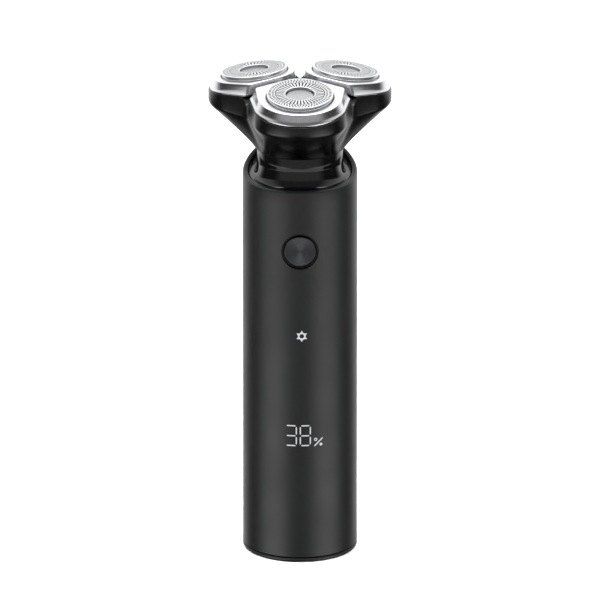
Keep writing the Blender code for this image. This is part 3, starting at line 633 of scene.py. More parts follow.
def apply_modifier(item: Item, kind: str, **settings: object) -> None:
    """Give a piece a modifier and apply it.

    Args:
        item: piece in object mode.
        kind: Blender's name of the modifier type.
        settings: properties of the modifier.
    """
    bpy.ops.object.select_all(action="DESELECT")
    item.select_set(True)
    bpy.context.view_layer.objects.active = item
    modifier = item.modifiers.new(kind.lower(), kind)
    for name, value in settings.items():
        setattr(modifier, name, value)
    bpy.ops.object.modifier_apply(modifier=modifier.name)


def cut(item: Item, tool: Item) -> None:
    """Cut a tool's shape out of a piece and throw the tool away.

    Args:
        item: piece that is cut.
        tool: shape that is taken out.
    """
    apply_modifier(item, "BOOLEAN", object=tool, operation="DIFFERENCE", solver="EXACT")
    bpy.data.objects.remove(tool, do_unlink=True)
    bpy.ops.object.shade_smooth_by_angle(angle=SMOOTH_ANGLE)


def copy_to(item: Item, name: str, place: Matrix) -> Item:
    """Copy a piece with its own mesh, and put the mesh in its place.

    Args:
        item: piece to copy.
        name: name of the copy.
        place: rotation and position of the copy.

    Returns:
        The copy, whose object stays at the origin.
    """
    copy = bpy.data.objects.new(name, item.data.copy())
    copy.data.name = name
    bpy.context.scene.collection.objects.link(copy)
    copy.data.transform(place)
    return copy


def fit(
    item: Item, body: Body | str, finishes: Sequence[Finish],
    replaces: Sequence[str] = (),
) -> None:
    """Give a piece its materials, the body that it rides on, and the CAD nodes that it stands for.

    Args:
        item: finished piece.
        body: body that it moves with.
        finishes: finish of each of the mesh's material slots.
        replaces: CAD nodes that it stands for.
    """
    for finish in finishes:
        item.data.materials.append(finish.material())
    body_name = body.value if isinstance(body, Body) else body
    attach(item, body_name)
    if replaces:
        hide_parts(*replaces)
    log.info("%s rides on %s", item.name, body_name)


# ---------------------------------------------------------------- handle

@dataclass
class Handle:
    """Round handle: shell, base, neck collar, power button and coupler."""

    lip_front: float = 132.7  # height of the shell's rim at the front
    lip_rise: float = 9.8  # how much higher the rim is at the back
    lip_curve: float = 2.45  # how late the rim rises
    tube_top: float = 96.0  # height above which the tube is stretched up to the rim
    tube_step: float = 2.0  # height between the rings that are stretched
    tube_rings: int = 17
    wall: float = 1.8
    neck_radius: float = 14.5
    cove_top: float = 138.2
    cove_bottom: float = 132.3
    cove_steps: int = 14
    cove_hold: float = 0.3  # a ring this far above the cove keeps the neck's shading straight
    collar_wall: float = 1.5
    coupler_hole: float = 3.8
    button_hole: float = 6.3
    button_depth: float = 1.7
    button_chamfer: float = 0.25
    ring_back: float = 17.2  # how far the ring's back and front are from the handle's axis
    ring_front: float = 18.2
    base_plate: float = 1.4  # thickness of the base under the shell
    spigot_radius: float = 15.9
    port_width: float = 9.6
    port_depth: float = 3.8
    port_centre: float = -8.8
    coupler_pin: float = 2.2
    coupler_hub: float = 3.4
    coupler_keys: int = 6
    key_depth: float = 0.35

    def __post_init__(self) -> None:
        """Read the driving sizes from the frame."""
        low, high = box_mm("body_shell")
        self.radius = high.x
        self.bottom = low.z
        self.neck_top = box_mm("neck_collar")[1].z
        low, high = box_mm("button_cap")
        self.button_height = (low.z + high.z) / 2
        self.button_radius = high.x
        self.button_face = -low.y

    def rise(self, y: float) -> float:
        """How much higher the shell's rim is at a distance behind the axis than at the front."""
        back = max((y + self.radius) / (2 * self.radius), 0.0)
        return self.lip_rise * back ** self.lip_curve

    def button_place(self) -> Matrix:
        """Placement that turns local Z out of the front at the button's height."""
        up = Matrix.Translation((0.0, 0.0, self.button_height * MM))
        return up @ Matrix.Rotation(math.pi / 2, 4, "X")

    def build(self) -> None:
        """Build and dress every piece of the handle."""
        self.build_shell()
        self.build_base()
        self.build_collar()
        self.build_button()
        self.build_coupler()

    def build_shell(self) -> None:
        """Painted tube whose rim sweeps up towards the back, with the button's hole."""
        outer = self.radius
        inner = outer - self.wall
        stations = [self.tube_top + self.tube_step * step for step in range(self.tube_rings)]
        profile = rounded([
            (inner, self.bottom, 0.2), (outer, self.bottom, 0.3),
            *[(outer, height, 0.0) for height in stations],
            (outer, self.lip_front, 0.8), (inner, self.lip_front, 0.4),
            *[(inner, height, 0.0) for height in reversed(stations)],
        ])
        shell = turned("shell", profile)
        reach = stations[-1] - self.tube_top
        for vertex in shell.data.vertices:
            share = min(max((vertex.co.z / MM - self.tube_top) / reach, 0.0), 1.0)
            vertex.co.z += self.rise(vertex.co.y / MM) * MM * eased(share)
        near, far = 12.0, 24.0
        radius = self.button_hole
        hole = turned("hole", [(0.0, near), (radius, near), (radius, far), (0.0, far)])
        hole.data.transform(self.button_place())
        cut(shell, hole)
        fit(shell, Body.HANDLE, [SOFT_TOUCH_PAINT], ["body_shell"])

    def build_base(self) -> None:
        """Base cap with a spigot and the charging port's opening."""
        spigot = box_mm("chassis")[1].x
        top = box_mm("base_cap")[1].z
        plate = self.base_plate
        base = turned("base", rounded([
            (0.0, plate, 0.0), (self.spigot_radius, plate, 0.3), (self.spigot_radius, top, 0.3),
            (spigot, top, 0.3), (spigot, plate, 0.0), (self.radius, plate, 0.2),
            (self.radius, 0.0, 0.8), (16.0, 0.0, 0.1),
            (15.8, 0.2, 0.1), (14.6, 0.2, 0.1), (14.4, 0.0, 0.1), (0.0, 0.0, 0.0),
        ], closed=False))
        bpy.ops.object.select_all(action="DESELECT")
        bpy.ops.mesh.primitive_cube_add(size=MM, location=(0.0, self.port_centre * MM, 0.0))
        port = start("port")
        bpy.ops.transform.resize(value=(self.port_width, self.port_depth, 8.0))
        bpy.ops.object.mode_set(mode="OBJECT")
        bpy.ops.object.transform_apply(location=True, rotation=False, scale=False)
        bpy.ops.object.mode_set(mode="EDIT")
        pick_edges(port, lambda one, two: abs(one.z - two.z) > 1.0)
        bpy.ops.mesh.bevel(offset=self.port_depth / 2 * 0.97 * MM, segments=10)
        close_up(port)
        cut(base, port)
        fit(base, Body.HANDLE, [SOFT_TOUCH_PAINT], ["base_cap"])

    def build_collar(self) -> None:
        """Polished collar: a cove from the shell's rim up to the round neck."""
        low, high = box_mm("neck_collar")
        outer = high.x
        wall = self.collar_wall
        cove: list[Corner] = [
            (self.neck_radius, self.cove_top + self.cove_hold, 0.0),
            (self.neck_radius, self.cove_top, 0.0),
        ]
        for step in range(1, self.cove_steps + 1):
            angle = math.pi / 2 * step / self.cove_steps
            cove.append((
                self.neck_radius + (outer - self.neck_radius) * (1 - math.cos(angle)),
                self.cove_top - (self.cove_top - self.cove_bottom) * math.sin(angle), 0.0,
            ))
        collar = turned("collar", rounded([
            (self.coupler_hole, self.neck_top, 0.25), (self.neck_radius, self.neck_top, 0.4), *cove,
            (outer, low.z, 0.2), (outer - wall, low.z, 0.2),
            (outer - wall, self.cove_bottom - wall, 0.0),
            (self.neck_radius - wall, self.cove_top - wall, 0.0),
            (self.neck_radius - wall, self.neck_top - self.wall, 0.0),
            (self.coupler_hole, self.neck_top - self.wall, 0.2),
        ]))
        for vertex in collar.data.vertices:
            point = vertex.co / MM
            reach = (math.hypot(point.x, point.y) - self.neck_radius) / (outer - self.neck_radius)
            if reach > 0 and point.z > low.z + 1.0:
                vertex.co.z += self.rise(point.y) * MM * eased(min(reach, 1.0))
        fit(collar, Body.HANDLE, [PIANO_BLACK], ["neck_collar"])

    def build_button(self) -> None:
        """Spun metal button and the black ring round it."""
        place = self.button_place()
        face = self.button_face
        back = face - self.button_depth
        chamfer = self.button_chamfer
        button = turned("button_disc", rounded([
            (0.0, face, 0.0), (self.button_radius - chamfer, face, 0.1),
            (self.button_radius, face - chamfer, 0.1), (self.button_radius, back, 0.1), (0.0, back, 0.0),
        ], closed=False))
        button.data.transform(place)
        # Spun aluminium, anodised dark grey: fine rings whose highlights fan out from the centre.
        metal = Ringed("spun_anodised_aluminium", "#5f6062", 0.33, 1.0, spacing=0.16, contrast=0.3,
                       relief=0.006, anisotropy=0.75, centre=tuple(place.translation),
                       turn=(math.pi / 2, 0.0, 0.0))
        fit(button, Body.BUTTON, [metal], ["button_cap"])
        inner, outer = self.button_radius + 0.12, self.button_hole - 0.05
        ring = turned("button_ring", rounded([
            (inner, self.ring_back, 0.1), (inner, self.ring_front, 0.15),
            (outer, self.ring_front, 0.15), (outer, self.ring_back, 0.1),
        ]))
        ring.data.transform(place)
        fit(ring, Body.HANDLE, [NITRILE_RUBBER], ["button_seal"])

    def build_coupler(self) -> None:
        """Coupler on the motor's shaft, with a keyed pin that turns the sun gear."""
        low, high = box_mm("drive_coupler")
        shoulder = box_mm("head_base")[0].z - 0.2
        coupler = turned("coupler", rounded([
            (0.0, high.z, 0.0), (self.coupler_pin, high.z, 0.4), (self.coupler_pin, shoulder, 0.3),
            (self.coupler_hub, shoulder, 0.4), (self.coupler_hub, low.z, 0.2), (0.0, low.z, 0.0),
        ], closed=False), STEPS_SMALL)
        half_key = 180.0 / self.coupler_keys

        def in_key(centre: Vector, normal: Vector) -> bool:
            """Whether a face of the pin lies in one of its keyways."""
            turn = math.degrees(math.atan2(centre.y, centre.x))
            return abs(normal.z) < 0.1 and centre.z > shoulder + 1.5 and int(turn // half_key) % 2 == 0

        bpy.ops.object.mode_set(mode="EDIT")
        pick_faces(coupler, in_key)
        bpy.ops.mesh.extrude_region_shrink_fatten(
            TRANSFORM_OT_shrink_fatten={"value": -self.key_depth * MM})
        close_up(coupler)
        fit(coupler, Body.DRIVE, [ACETAL], ["drive_coupler"])


# ---------------------------------------------------------------- shaving head

@dataclass
class Lobe:
    """Place of one of the head's three cutting units."""

    side: Side

    def __post_init__(self) -> None:
        """Read the lobe's centre and axis from the joint that spins its cutter."""
        joint = next(j for j in frame["joints"] if j["name"] == f"cutter_spin_{self.side.value}")
        axis = Vector(joint["axis"]).normalized()
        centre = Vector(joint["pos_m"])
        lateral = axis.cross(Vector((centre.x, centre.y, 0.0))).normalized()
        turn = Matrix((lateral.cross(axis), lateral, axis)).transposed()
        self.place = Matrix.Translation(centre) @ turn.to_4x4()
        self.azimuth = math.degrees(math.atan2(centre.y, centre.x))

    def ringed(self, finish: Ringed) -> Ringed:
        """Centre a ringed finish on this lobe's axis."""
        return replace(
            finish, name=f"{finish.name}_{self.side.value}", centre=tuple(self.place.translation),
            turn=tuple(self.place.to_euler("XYZ")),
        )


@dataclass
class Head:
    """Lobed shaving head: housing, deck, base plate, bezels and caps."""

    rim_radius: float = 15.3
    shoulder: float = 156.0
    shoulder_round: float = 2.2
    lobe_radius: float = 15.6
    housing_flare: float = 11.0
    bezel_height: float = 3.8
    bezel_slot: float = 3.6
    bezel_wall: float = 1.2
    top_radius: float = 14.35
    top_flare: float = 6.0
    apex_radius: float = 9.2
    hole_radius: float = 11.5
    cap_radius: float = 11.2
    cap_rise: float = 1.2
    cap_flange: float = 12.0
    recess: float = 4.9
    cap_inside: float = 10.5  # radius of the cap's open inside
    cap_steps: int = 360
    slot_depth: float = 0.4
    inner_track: Point = (5.3, 8.05)
    outer_rows: tuple[Point, Point] = ((8.75, 9.6), (9.85, 10.7))
    groove_floor: Point = (8.2, 8.4)
    groove_depth: float = 0.3
    groove_side: float = 0.05
    disc_radius: float = 4.6
    wall: float = 1.4
    deck_wall: float = 1.2
    deck_opening: float = 10.8
    seam: float = 0.08  # gap under the bezels
    dip_depth: float = 3.0  # how far the rim dips between two bezels
    dip_reach: float = 3.2
    dip_start: float = 6.5
    azimuth_steps: int = 240

    def __post_init__(self) -> None:
        """Read the lobes and the head's lowest plane from the frame."""
        self.lobes = [Lobe(side) for side in Side]
        self.bottom = box_mm("head_housing")[0].z
        place = self.lobes[0].place
        self.distance = math.hypot(*place.translation.xy) / MM
        self.height = place.translation.z / MM
        self.tilt = math.acos(place.col[2].z)

    def build(self) -> None:
        """Build and dress every piece of the head."""
        self.build_housing()
        self.build_deck()
        self.build_base()
        self.build_bezels()
        self.build_caps()

    # housing

    def off_lobe(self, azimuth: float, soft: float = 0.0) -> float:
        """Angle from a direction to the nearest lobe, with the valley between two lobes softened.

        Args:
            azimuth: direction in degrees.
            soft: half width of the softened valley in degrees.

        Returns:
            The angle in radians.
        """
        turn = min(abs((azimuth - lobe.azimuth + 180.0) % 360.0 - 180.0) for lobe in self.lobes)
        return math.radians(60.0 - math.hypot(60.0 - turn, soft))

    def outline_radius(self, azimuth: float, inset: float = 0.0, soft: float = 5.0) -> float:
        """Plan radius of the lobed outline.

        Args:
            azimuth: direction in degrees.
            inset: how far inside the outline, in millimetres.
            soft: half width of the softened valley in degrees.

        Returns:
            The radius in millimetres.
        """
        turn = abs(self.off_lobe(azimuth, soft))
        flare = math.radians(self.housing_flare)
        lobe = self.lobe_radius - inset
        side = lobe * math.cos(flare)
        radial = self.distance + lobe * math.sin(flare)
        if turn < math.atan2(side, radial):
            across = self.distance * math.sin(turn)
            return self.distance * math.cos(turn) + math.sqrt(lobe ** 2 - across ** 2)
        return (side + radial * math.tan(flare)) / (math.sin(turn) + math.cos(turn) * math.tan(flare))

    def plane_height(self, azimuth: float, radius: float, depth: float) -> float:
        """Height of the plane that lies a depth below the nearest bezel's top.

        Args:
            azimuth: direction in degrees.
            radius: distance from the head's axis.
            depth: depth below the bezel, square to it.

        Returns:
            The height in millimetres.
        """
        outward = radius * math.cos(self.off_lobe(azimuth)) - self.distance
        height = self.height - depth / math.cos(self.tilt) - outward * math.tan(self.tilt)
        return height - self.valley_dip(azimuth, radius)

    def valley_dip(self, azimuth: float, radius: float) -> float:
        """How far the rim and the deck dip in the gap between two bezels.

        Args:
            azimuth: direction in degrees.
            radius: distance from the head's axis.

        Returns:
            The dip in millimetres.
        """
        off = math.radians(60.0) - self.off_lobe(azimuth)
        across = max(1.0 - radius * math.sin(off) / self.dip_reach, 0.0)
        along = min(max((radius * math.cos(off) - self.dip_start) / self.dip_start, 0.0), 1.0)
        return self.dip_depth * eased(across) * along

    def azimuths(self) -> list[float]:
        """Directions of the points of every ring."""
        return [360.0 * step / self.azimuth_steps for step in range(self.azimuth_steps)]

    def housing_section(self, azimuth: float) -> list[Point]:
        """Section of the housing's wall in one direction, as a closed list of points.

        Args:
            azimuth: direction in degrees.

        Returns:
            (radius, height) points: up the outside, over the top edge and down the inside.
        """
        outer = self.outline_radius(azimuth)
        inner = self.outline_radius(azimuth, self.wall)
        depth = self.bezel_height + self.seam
        top = self.plane_height(azimuth, outer, depth)
        inner_top = self.plane_height(azimuth, inner, depth)
        corners: list[Corner] = [
            (self.rim_radius, self.bottom, 0.35), (outer, self.shoulder, self.shoulder_round),
            (outer, top, 0.2), (inner, inner_top, 0.2), (inner, self.shoulder, 1.0),
            (self.rim_radius - self.wall, self.bottom, 0.2),
        ]
        return rounded(corners, steps=6)

    def build_housing(self) -> None:
        """Gloss housing: a round rim that flares out to three lobes, with a soft shoulder."""
        sections = [self.housing_section(azimuth) for azimuth in self.azimuths()]
        rings = [
            [polar(radius, azimuth, height) for azimuth, (radius, height) in zip(self.azimuths(), level)]
            for level in zip(*sections)
        ]
        housing = lofted("housing", rings)
        fit(housing, Body.HEAD, [GLOSS_ABS], ["head_housing"])

    def build_deck(self) -> None:
        """Deck under the bezels, open over each cutter."""
        depth = self.bezel_height + 0.6
        rings = []
        for share in (1.0, 0.7, 0.4, 0.1):
            ring = []
            for azimuth in self.azimuths():
                radius = (self.outline_radius(azimuth, self.wall) - 0.02) * share
                ring.append(polar(radius, azimuth, self.plane_height(azimuth, radius, depth)))
            rings.append(ring)
        deck = lofted("deck", rings, pole=True)
        apply_modifier(deck, "SOLIDIFY", thickness=self.deck_wall * MM, offset=-1.0)
        radius, low, high = self.deck_opening, -9.0, 1.0
        section = [(0.0, low), (radius, low), (radius, high), (0.0, high)]
        for lobe in self.lobes:
            tool = turned("opening", section, STEPS_SMALL)
            tool.data.transform(lobe.place)
            cut(deck, tool)
        fit(deck, Body.HEAD, [GLOSS_ABS], ["head_deck"])

    def build_base(self) -> None:
        """Base plate with a raised lip round the coupler's hole and a shallow ring groove."""
        low, high = box_mm("head_base")
        hole, edge = 3.9, high.x + 0.3
        sunk = low.z + 0.3
        plate = turned("head_plate", rounded([
            (hole, low.z, 0.15), (5.2, low.z, 0.15), (5.4, sunk, 0.1), (12.0, sunk, 0.1),
            (12.2, low.z, 0.15), (edge, low.z, 0.1), (edge, high.z, 0.2), (hole, high.z, 0.2),
        ]))
        fit(plate, Body.HEAD, [GLOSS_ABS], ["head_base"])

    # bezels

    def bezel_outline(self, share: float, inset: float) -> Ring:
        """Outline of a bezel in its lobe's frame, at the origin's height.

        Args:
            share: 0 at the bezel's top edge and 1 at the foot of its skirt.
            inset: how far inside that outline, in millimetres.

        Returns:
            The ring of points, from the outer end round through +Y.
        """
        radius = self.top_radius + (self.lobe_radius - self.top_radius) * share - inset
        flare = math.radians(self.top_flare + (self.housing_flare - self.top_flare) * share)
        slot = self.bezel_slot + 2 * inset
        steep = math.tan(math.radians(60.0))
        start_x, start_y = radius * math.sin(flare), radius * math.cos(flare)
        run = (steep * (self.distance + start_x) - slot - start_y) / (
            math.sin(flare) + steep * math.cos(flare))
        apex = self.apex_radius - inset
        apex_x = slot / steep - self.distance + apex / math.sin(math.radians(60.0))
        corner = Vector((start_x - run * math.cos(flare), start_y + run * math.sin(flare)))
        inner_end = Vector((apex_x, 0.0)) + polar(apex, 150.0, 0.0).xy
        half: list[Vector] = []
        arc_steps = 32
        for step in range(arc_steps + 1):
            angle = (math.pi / 2 - flare) * step / arc_steps
            half.append(Vector((radius * math.cos(angle), radius * math.sin(angle))))
        soft = max(1.1 - inset * 0.5, 0.4)
        leg = corner - half[-1]
        edge = inner_end - corner
        before = corner - leg.normalized() * soft
        after = corner + edge.normalized() * soft
        straight_start = half[-1].copy()
        half += [straight_start.lerp(before, step / 5) for step in range(1, 5)]
        corner_steps = 8
        for step in range(corner_steps + 1):
            share_along = step / corner_steps
            start, end = before.lerp(corner, share_along), corner.lerp(after, share_along)
            half.append(start.lerp(end, share_along))
        half += [after.lerp(inner_end, step / 6) for step in range(1, 6)]
        apex_steps = 8
        for step in range(apex_steps + 1):
            angle = math.radians(150.0 + 30.0 * step / apex_steps)
            half.append(Vector((apex_x + apex * math.cos(angle), apex * math.sin(angle))))
        mirrored = [Vector((point.x, -point.y)) for point in reversed(half[1:-1])]
        return [Vector((point.x, point.y, 0.0)) for point in half + mirrored]

    def bezel_ring(self, share: float, inset: float, depth: float) -> Ring:
        """Outline of a bezel at a depth below its top."""
        return [point - Vector((0.0, 0.0, depth)) for point in self.bezel_outline(share, inset)]

    def hole_ring(self, radius: float, depth: float) -> Ring:
        """Circle round the cap, with a point beside each point of the outline."""
        return [polar(radius, math.degrees(math.atan2(point.y, point.x)), -depth)
                for point in self.bezel_outline(0.0, 0.5)]

    def build_bezels(self) -> None:
        """Plated bezels: a flat top round each cap, a near-upright skirt and a flared foot."""
        foot = self.bezel_height
        top_round = 0.45
        edge = [
            self.bezel_ring(0.0, top_round * (1 - math.sin(angle)), top_round * (1 - math.cos(angle)))
            for angle in (math.pi / 2 * step / 5 for step in range(6))
        ]
        skirt = [self.bezel_ring(*place) for place in (
            (0.20, 0.0, 1.2), (0.36, 0.0, 2.0), (0.54, 0.0, 2.6), (0.75, 0.0, 3.0), (0.93, 0.0, 3.25),
            (0.99, 0.0, 3.35), (1.0, 0.0, 3.45), (1.0, 0.0, foot - 0.1), (1.0, 0.1, foot),
        )]
        wall = self.bezel_wall
        inside = [self.bezel_ring(*place)
                  for place in ((1.0, wall, foot), (0.6, wall, 2.6), (0.0, wall, 1.3))]
        opening = [self.hole_ring(self.hole_radius + wider, depth) for wider, depth in (
            (0.0, 1.3), (0.0, 0.35), (0.06, 0.16), (0.18, 0.04), (0.35, 0.0),
        )]
        rings = [*edge, *skirt, *inside, *opening]
        pattern = lofted("bezel_pattern", [*rings, rings[0]])
        for lobe in self.lobes:
            bezel = copy_to(pattern, f"bezel_plated_{lobe.side.value}", lobe.place)
            fit(bezel, Body.HEAD, [SATIN_PLATE], [f"bezel_{lobe.side.value}"])
        bpy.data.objects.remove(pattern, do_unlink=True)

    # caps

    def build_caps(self) -> None:
        """Shaving caps with an inner track of long slots and two outer rows, and their centre discs."""
        rise = self.cap_rise
        (first_in, first_out), (second_in, second_out) = self.outer_rows
        start_floor, end_floor = self.groove_floor
        side = self.groove_side
        face = [(radius, rise, 0.0) for radius in (*self.inner_track, start_floor - side)]
        face += [(radius, rise - self.groove_depth, 0.0) for radius in self.groove_floor]
        face += [(radius, rise, 0.0)
                 for radius in (end_floor + side, first_in, first_out, second_in, second_out)]
        flange_top, flange_bottom, roof, hub, hub_floor = -1.9, -2.6, 0.3, 5.8, -1.2
        pattern = turned("cap_pattern", rounded([
            (0.0, -0.4, 0.0), (self.recess, -0.4, 0.1), (self.recess, rise, 0.2), *face,
            (self.cap_radius, rise, 0.35), (self.cap_radius, flange_top, 0.1),
            (self.cap_flange, flange_top, 0.2), (self.cap_flange, flange_bottom, 0.2),
            (self.cap_inside, flange_bottom, 0.2), (self.cap_inside, roof, 0.0), (hub, roof, 0.0),
            (hub, hub_floor, 0.2), (0.0, hub_floor, 0.0),
        ], closed=False), self.cap_steps)
        # The slots are drawn coarser and fewer than the real ones so that they show.
        self.cut_slots(pattern, self.inner_track, 9, 0)
        self.cut_slots(pattern, (first_in, first_out), 6, 0)
        self.cut_slots(pattern, (second_in, second_out), 6, 3)
        self.shade_groove(pattern)
        disc = turned("disc_pattern", rounded([
            (0.0, 0.52, 0.0), (self.disc_radius, 0.45, 0.25), (self.disc_radius, -0.1, 0.1),
            (0.0, -0.1, 0.0),
        ], closed=False))
        # Stainless steel ground while it turns: bright, with rings too fine to count.
        ground = Ringed("ground_stainless_steel", "#d4d5d7", 0.27, 1.0, spacing=0.12, contrast=0.18,
                        relief=0.003)
        for lobe in self.lobes:
            side = lobe.side.value
            cap = copy_to(pattern, f"cap_slotted_{side}", lobe.place)
            # The cap's second material is the painted shade in its slots and its ring groove.
            fit(cap, f"cap_{side}", [lobe.ringed(ground), SLOT_SHADE], [f"shaving_cap_{side}"])
            centre = copy_to(disc, f"centre_disc_{side}", lobe.place)
            fit(centre, f"cap_{side}", [BLASTED_STEEL], [f"cap_centre_{side}"])
        bpy.data.objects.remove(pattern, do_unlink=True)
        bpy.data.objects.remove(disc, do_unlink=True)

    def cut_slots(self, cap: Item, track: Point, pitch: int, phase: int) -> None:
        """Sink a slot in each pitch, all round a track of the cap's face, and paint shade into it with the dark
        finish.

        Args:
            cap: cap in object mode.
            track: inner and outer radius of the track.
            pitch: facets from one slot to the next; a slot takes up half of them, rounded down.
            phase: facets by which the first slot is turned back.
        """
        inner, outer = track

        def in_slot(centre: Vector, normal: Vector) -> bool:
            """Whether a face lies in the track at a slot's turn."""
            turn = math.degrees(math.atan2(centre.y, centre.x)) % 360.0
            facet = int(turn * self.cap_steps / 360.0)
            return (normal.z > 0.9 and centre.z > self.cap_rise - 0.05
                    and inner < math.hypot(centre.x, centre.y) < outer
                    and (facet + phase) % pitch < pitch // 2)

        bpy.ops.object.select_all(action="DESELECT")
        cap.select_set(True)
        bpy.context.view_layer.objects.active = cap
        bpy.ops.object.mode_set(mode="EDIT")
        pick_faces(cap, in_slot)
        down = (0.0, 0.0, -self.slot_depth * MM)
        bpy.ops.mesh.extrude_region_move(TRANSFORM_OT_translate={"value": down})
        shape = bmesh.from_edit_mesh(cap.data)
        slack = 0.02
        for face in shape.faces:
            centre = face.calc_center_median() / MM
            sunk = self.cap_rise - self.slot_depth - slack < centre.z < self.cap_rise - slack
            if sunk and inner - slack < math.hypot(centre.x, centre.y) < outer + slack:
                # Painted shade: the slot's floor and walls take the dark finish.
                face.material_index = 1
        bmesh.update_edit_mesh(cap.data)
        close_up(cap)

    def shade_groove(self, cap: Item) -> None:
        """Paint shade into the groove between the tracks, with the dark finish of the slots."""
        for face in cap.data.polygons:
            reach = math.hypot(*face.center.xy) / MM
            sunk = -self.groove_depth - 0.05 < face.center.z / MM - self.cap_rise < -0.01
            if sunk and self.groove_floor[0] - 0.08 < reach < self.groove_floor[1] + 0.08:
                # Painted shade: the groove's floor and walls take the dark finish.
                face.material_index = 1


# ---------------------------------------------------------------- lit symbols

@dataclass
class Symbols:
    """Percentage and status symbol that shine through the front of the shell."""

    stroke: float = 0.40
    proud: float = 0.04
    rows: tuple[float, float, float] = (42.1, 45.6, 49.2)  # heights of a digit's level strokes
    stroke_gap: float = 0.45  # how far an upright stroke stays off a level one
    icon_centre: Point = (0.6, 81.3)
    icon_tip: float = 2.05
    icon_valley: float = 1.25
    icon_shoulder: float = 1.42  # radius between a tip and a valley
    icon_hole: float = 0.86

    def __post_init__(self) -> None:
        """Read the shell's radius from the frame."""
        self.radius = box_mm("body_shell")[1].x

    def build(self) -> None:
        """Build and dress the symbols."""
        low, middle, high = self.rows
        gap = self.stroke_gap
        three = [((-4.5, row), (-1.5, row)) for row in self.rows]
        three += [((-1.25, low + gap), (-1.25, middle - gap)), ((-1.25, middle + gap), (-1.25, high - gap))]
        eight = [((0.45, row), (3.15, row)) for row in self.rows]
        for x in (0.12, 3.5):
            eight += [((x, low + gap), (x, middle - gap)), ((x, middle + gap), (x, high - gap))]
        self.panel("digit_three", [self.bar(*ends) for ends in three])
        self.panel("digit_eight", [self.bar(*ends) for ends in eight])
        slash = self.bar((4.85, 41.7), (7.65, 44.5))
        upper, under = self.washer((5.3, 44.1), 0.56, 0.26), self.washer((7.1, 42.2), 0.5, 0.04)
        self.panel("percent_sign", [slash, upper, under])
        self.panel("status_symbol", [self.star()])

    def bar(self, one: Point, two: Point) -> Item:
        """Stroke with pointed ends between two points of the front, laid in the XZ plane.

        Args:
            one: (x, z) of its first end.
            two: (x, z) of its second end.

        Returns:
            The stroke, flat.
        """
        length = math.dist(one, two)
        angle = math.atan2(two[1] - one[1], two[0] - one[0])
        bpy.ops.object.select_all(action="DESELECT")
        bpy.ops.mesh.primitive_cube_add(size=MM)
        item = start("bar")
        point = self.stroke / 2
        bpy.ops.transform.resize(value=(length - 2 * point, self.proud * 2, self.stroke))
        bpy.ops.mesh.subdivide(number_cuts=3)
        for way in (-1, 1):
            pick_faces(item, lambda centre, normal, way=way: normal.x * way > 0.9)
            out = (way * point * MM, 0.0, 0.0)
            bpy.ops.mesh.extrude_region_move(TRANSFORM_OT_translate={"value": out})
            bpy.ops.transform.resize(value=(1.0, 1.0, 0.45))
        close_up(item)
        item.data.transform(Matrix.Rotation(-angle, 4, "Y"))
        middle = Vector(((one[0] + two[0]) / 2 * MM, 0.0, (one[1] + two[1]) / 2 * MM))
        item.data.transform(Matrix.Translation(middle))
        return item

    def washer(self, centre: Point, outer: float, inner: float) -> Item:
        """Ring of the percent sign, facing the front; a tiny hole makes it a dot.

        Args:
            centre: (x, z) of its middle.
            outer: outer radius.
            inner: radius of the hole.

        Returns:
            The ring, flat.
        """
        item = turned("washer", rounded([
            (inner, -self.proud, 0.0), (outer, -self.proud, 0.0), (outer, self.proud, 0.02),
            (inner, self.proud, 0.02),
        ], steps=2), STEPS_SMALL // 2)
        item.data.transform(Matrix.Rotation(math.pi / 2, 4, "X"))
        item.data.transform(Matrix.Translation((centre[0] * MM, 0.0, centre[1] * MM)))
        return item

    def star(self) -> Item:
        """Six-pointed status symbol with a hexagonal hole, facing the front."""
        points = 24
        rings = []
        for outer, depth in ((True, -self.proud), (False, -self.proud), (False, self.proud),
                             (True, self.proud)):
            ring = []
            for index in range(points):
                angle = 2 * math.pi * index / points
                edge = (self.icon_valley, self.icon_shoulder, self.icon_tip, self.icon_shoulder)[index % 4]
                hole = self.icon_hole * math.cos(math.pi / 6) / math.cos(
                    angle % (math.pi / 3) - math.pi / 6)
                radius = edge if outer else hole
                ring.append(Vector((self.icon_centre[0] + radius * math.cos(angle), depth,
                                    self.icon_centre[1] + radius * math.sin(angle))))
            rings.append(ring)
        return lofted("star", [*rings, rings[0]])

    def panel(self, name: str, parts: Sequence[Item]) -> None:
        """Join flat strokes and bend them onto the shell's front.

        Args:
            name: name of the symbol.
            parts: its flat strokes.
        """
        bpy.ops.object.select_all(action="DESELECT")
        for part in parts:
            part.select_set(True)
        symbol = parts[0]
        bpy.context.view_layer.objects.active = symbol
        if len(parts) > 1:
            bpy.ops.object.join()
        symbol.name = name
        symbol.data.name = name
        for vertex in symbol.data.vertices:
            vertex.co.y -= math.sqrt((self.radius * MM) ** 2 - vertex.co.x ** 2)
        fit(symbol, Body.HANDLE, [LIT_WINDOW])


# ---------------------------------------------------------------- inner pieces

def dress_cad_nodes() -> int:
    """Give every CAD node the finish of its material slot.

    Returns:
        The number of nodes dressed.
    """
    slots = {part["node"]: Slot(part["material_slot"]) for part in frame["record"]["subparts"]}
    for name, node in frame["nodes"].items():
        node.data.materials.clear()
        node.data.materials.append(CAD_FINISHES[slots[name]].material())
    return len(slots)


# ---------------------------------------------------------------- studio

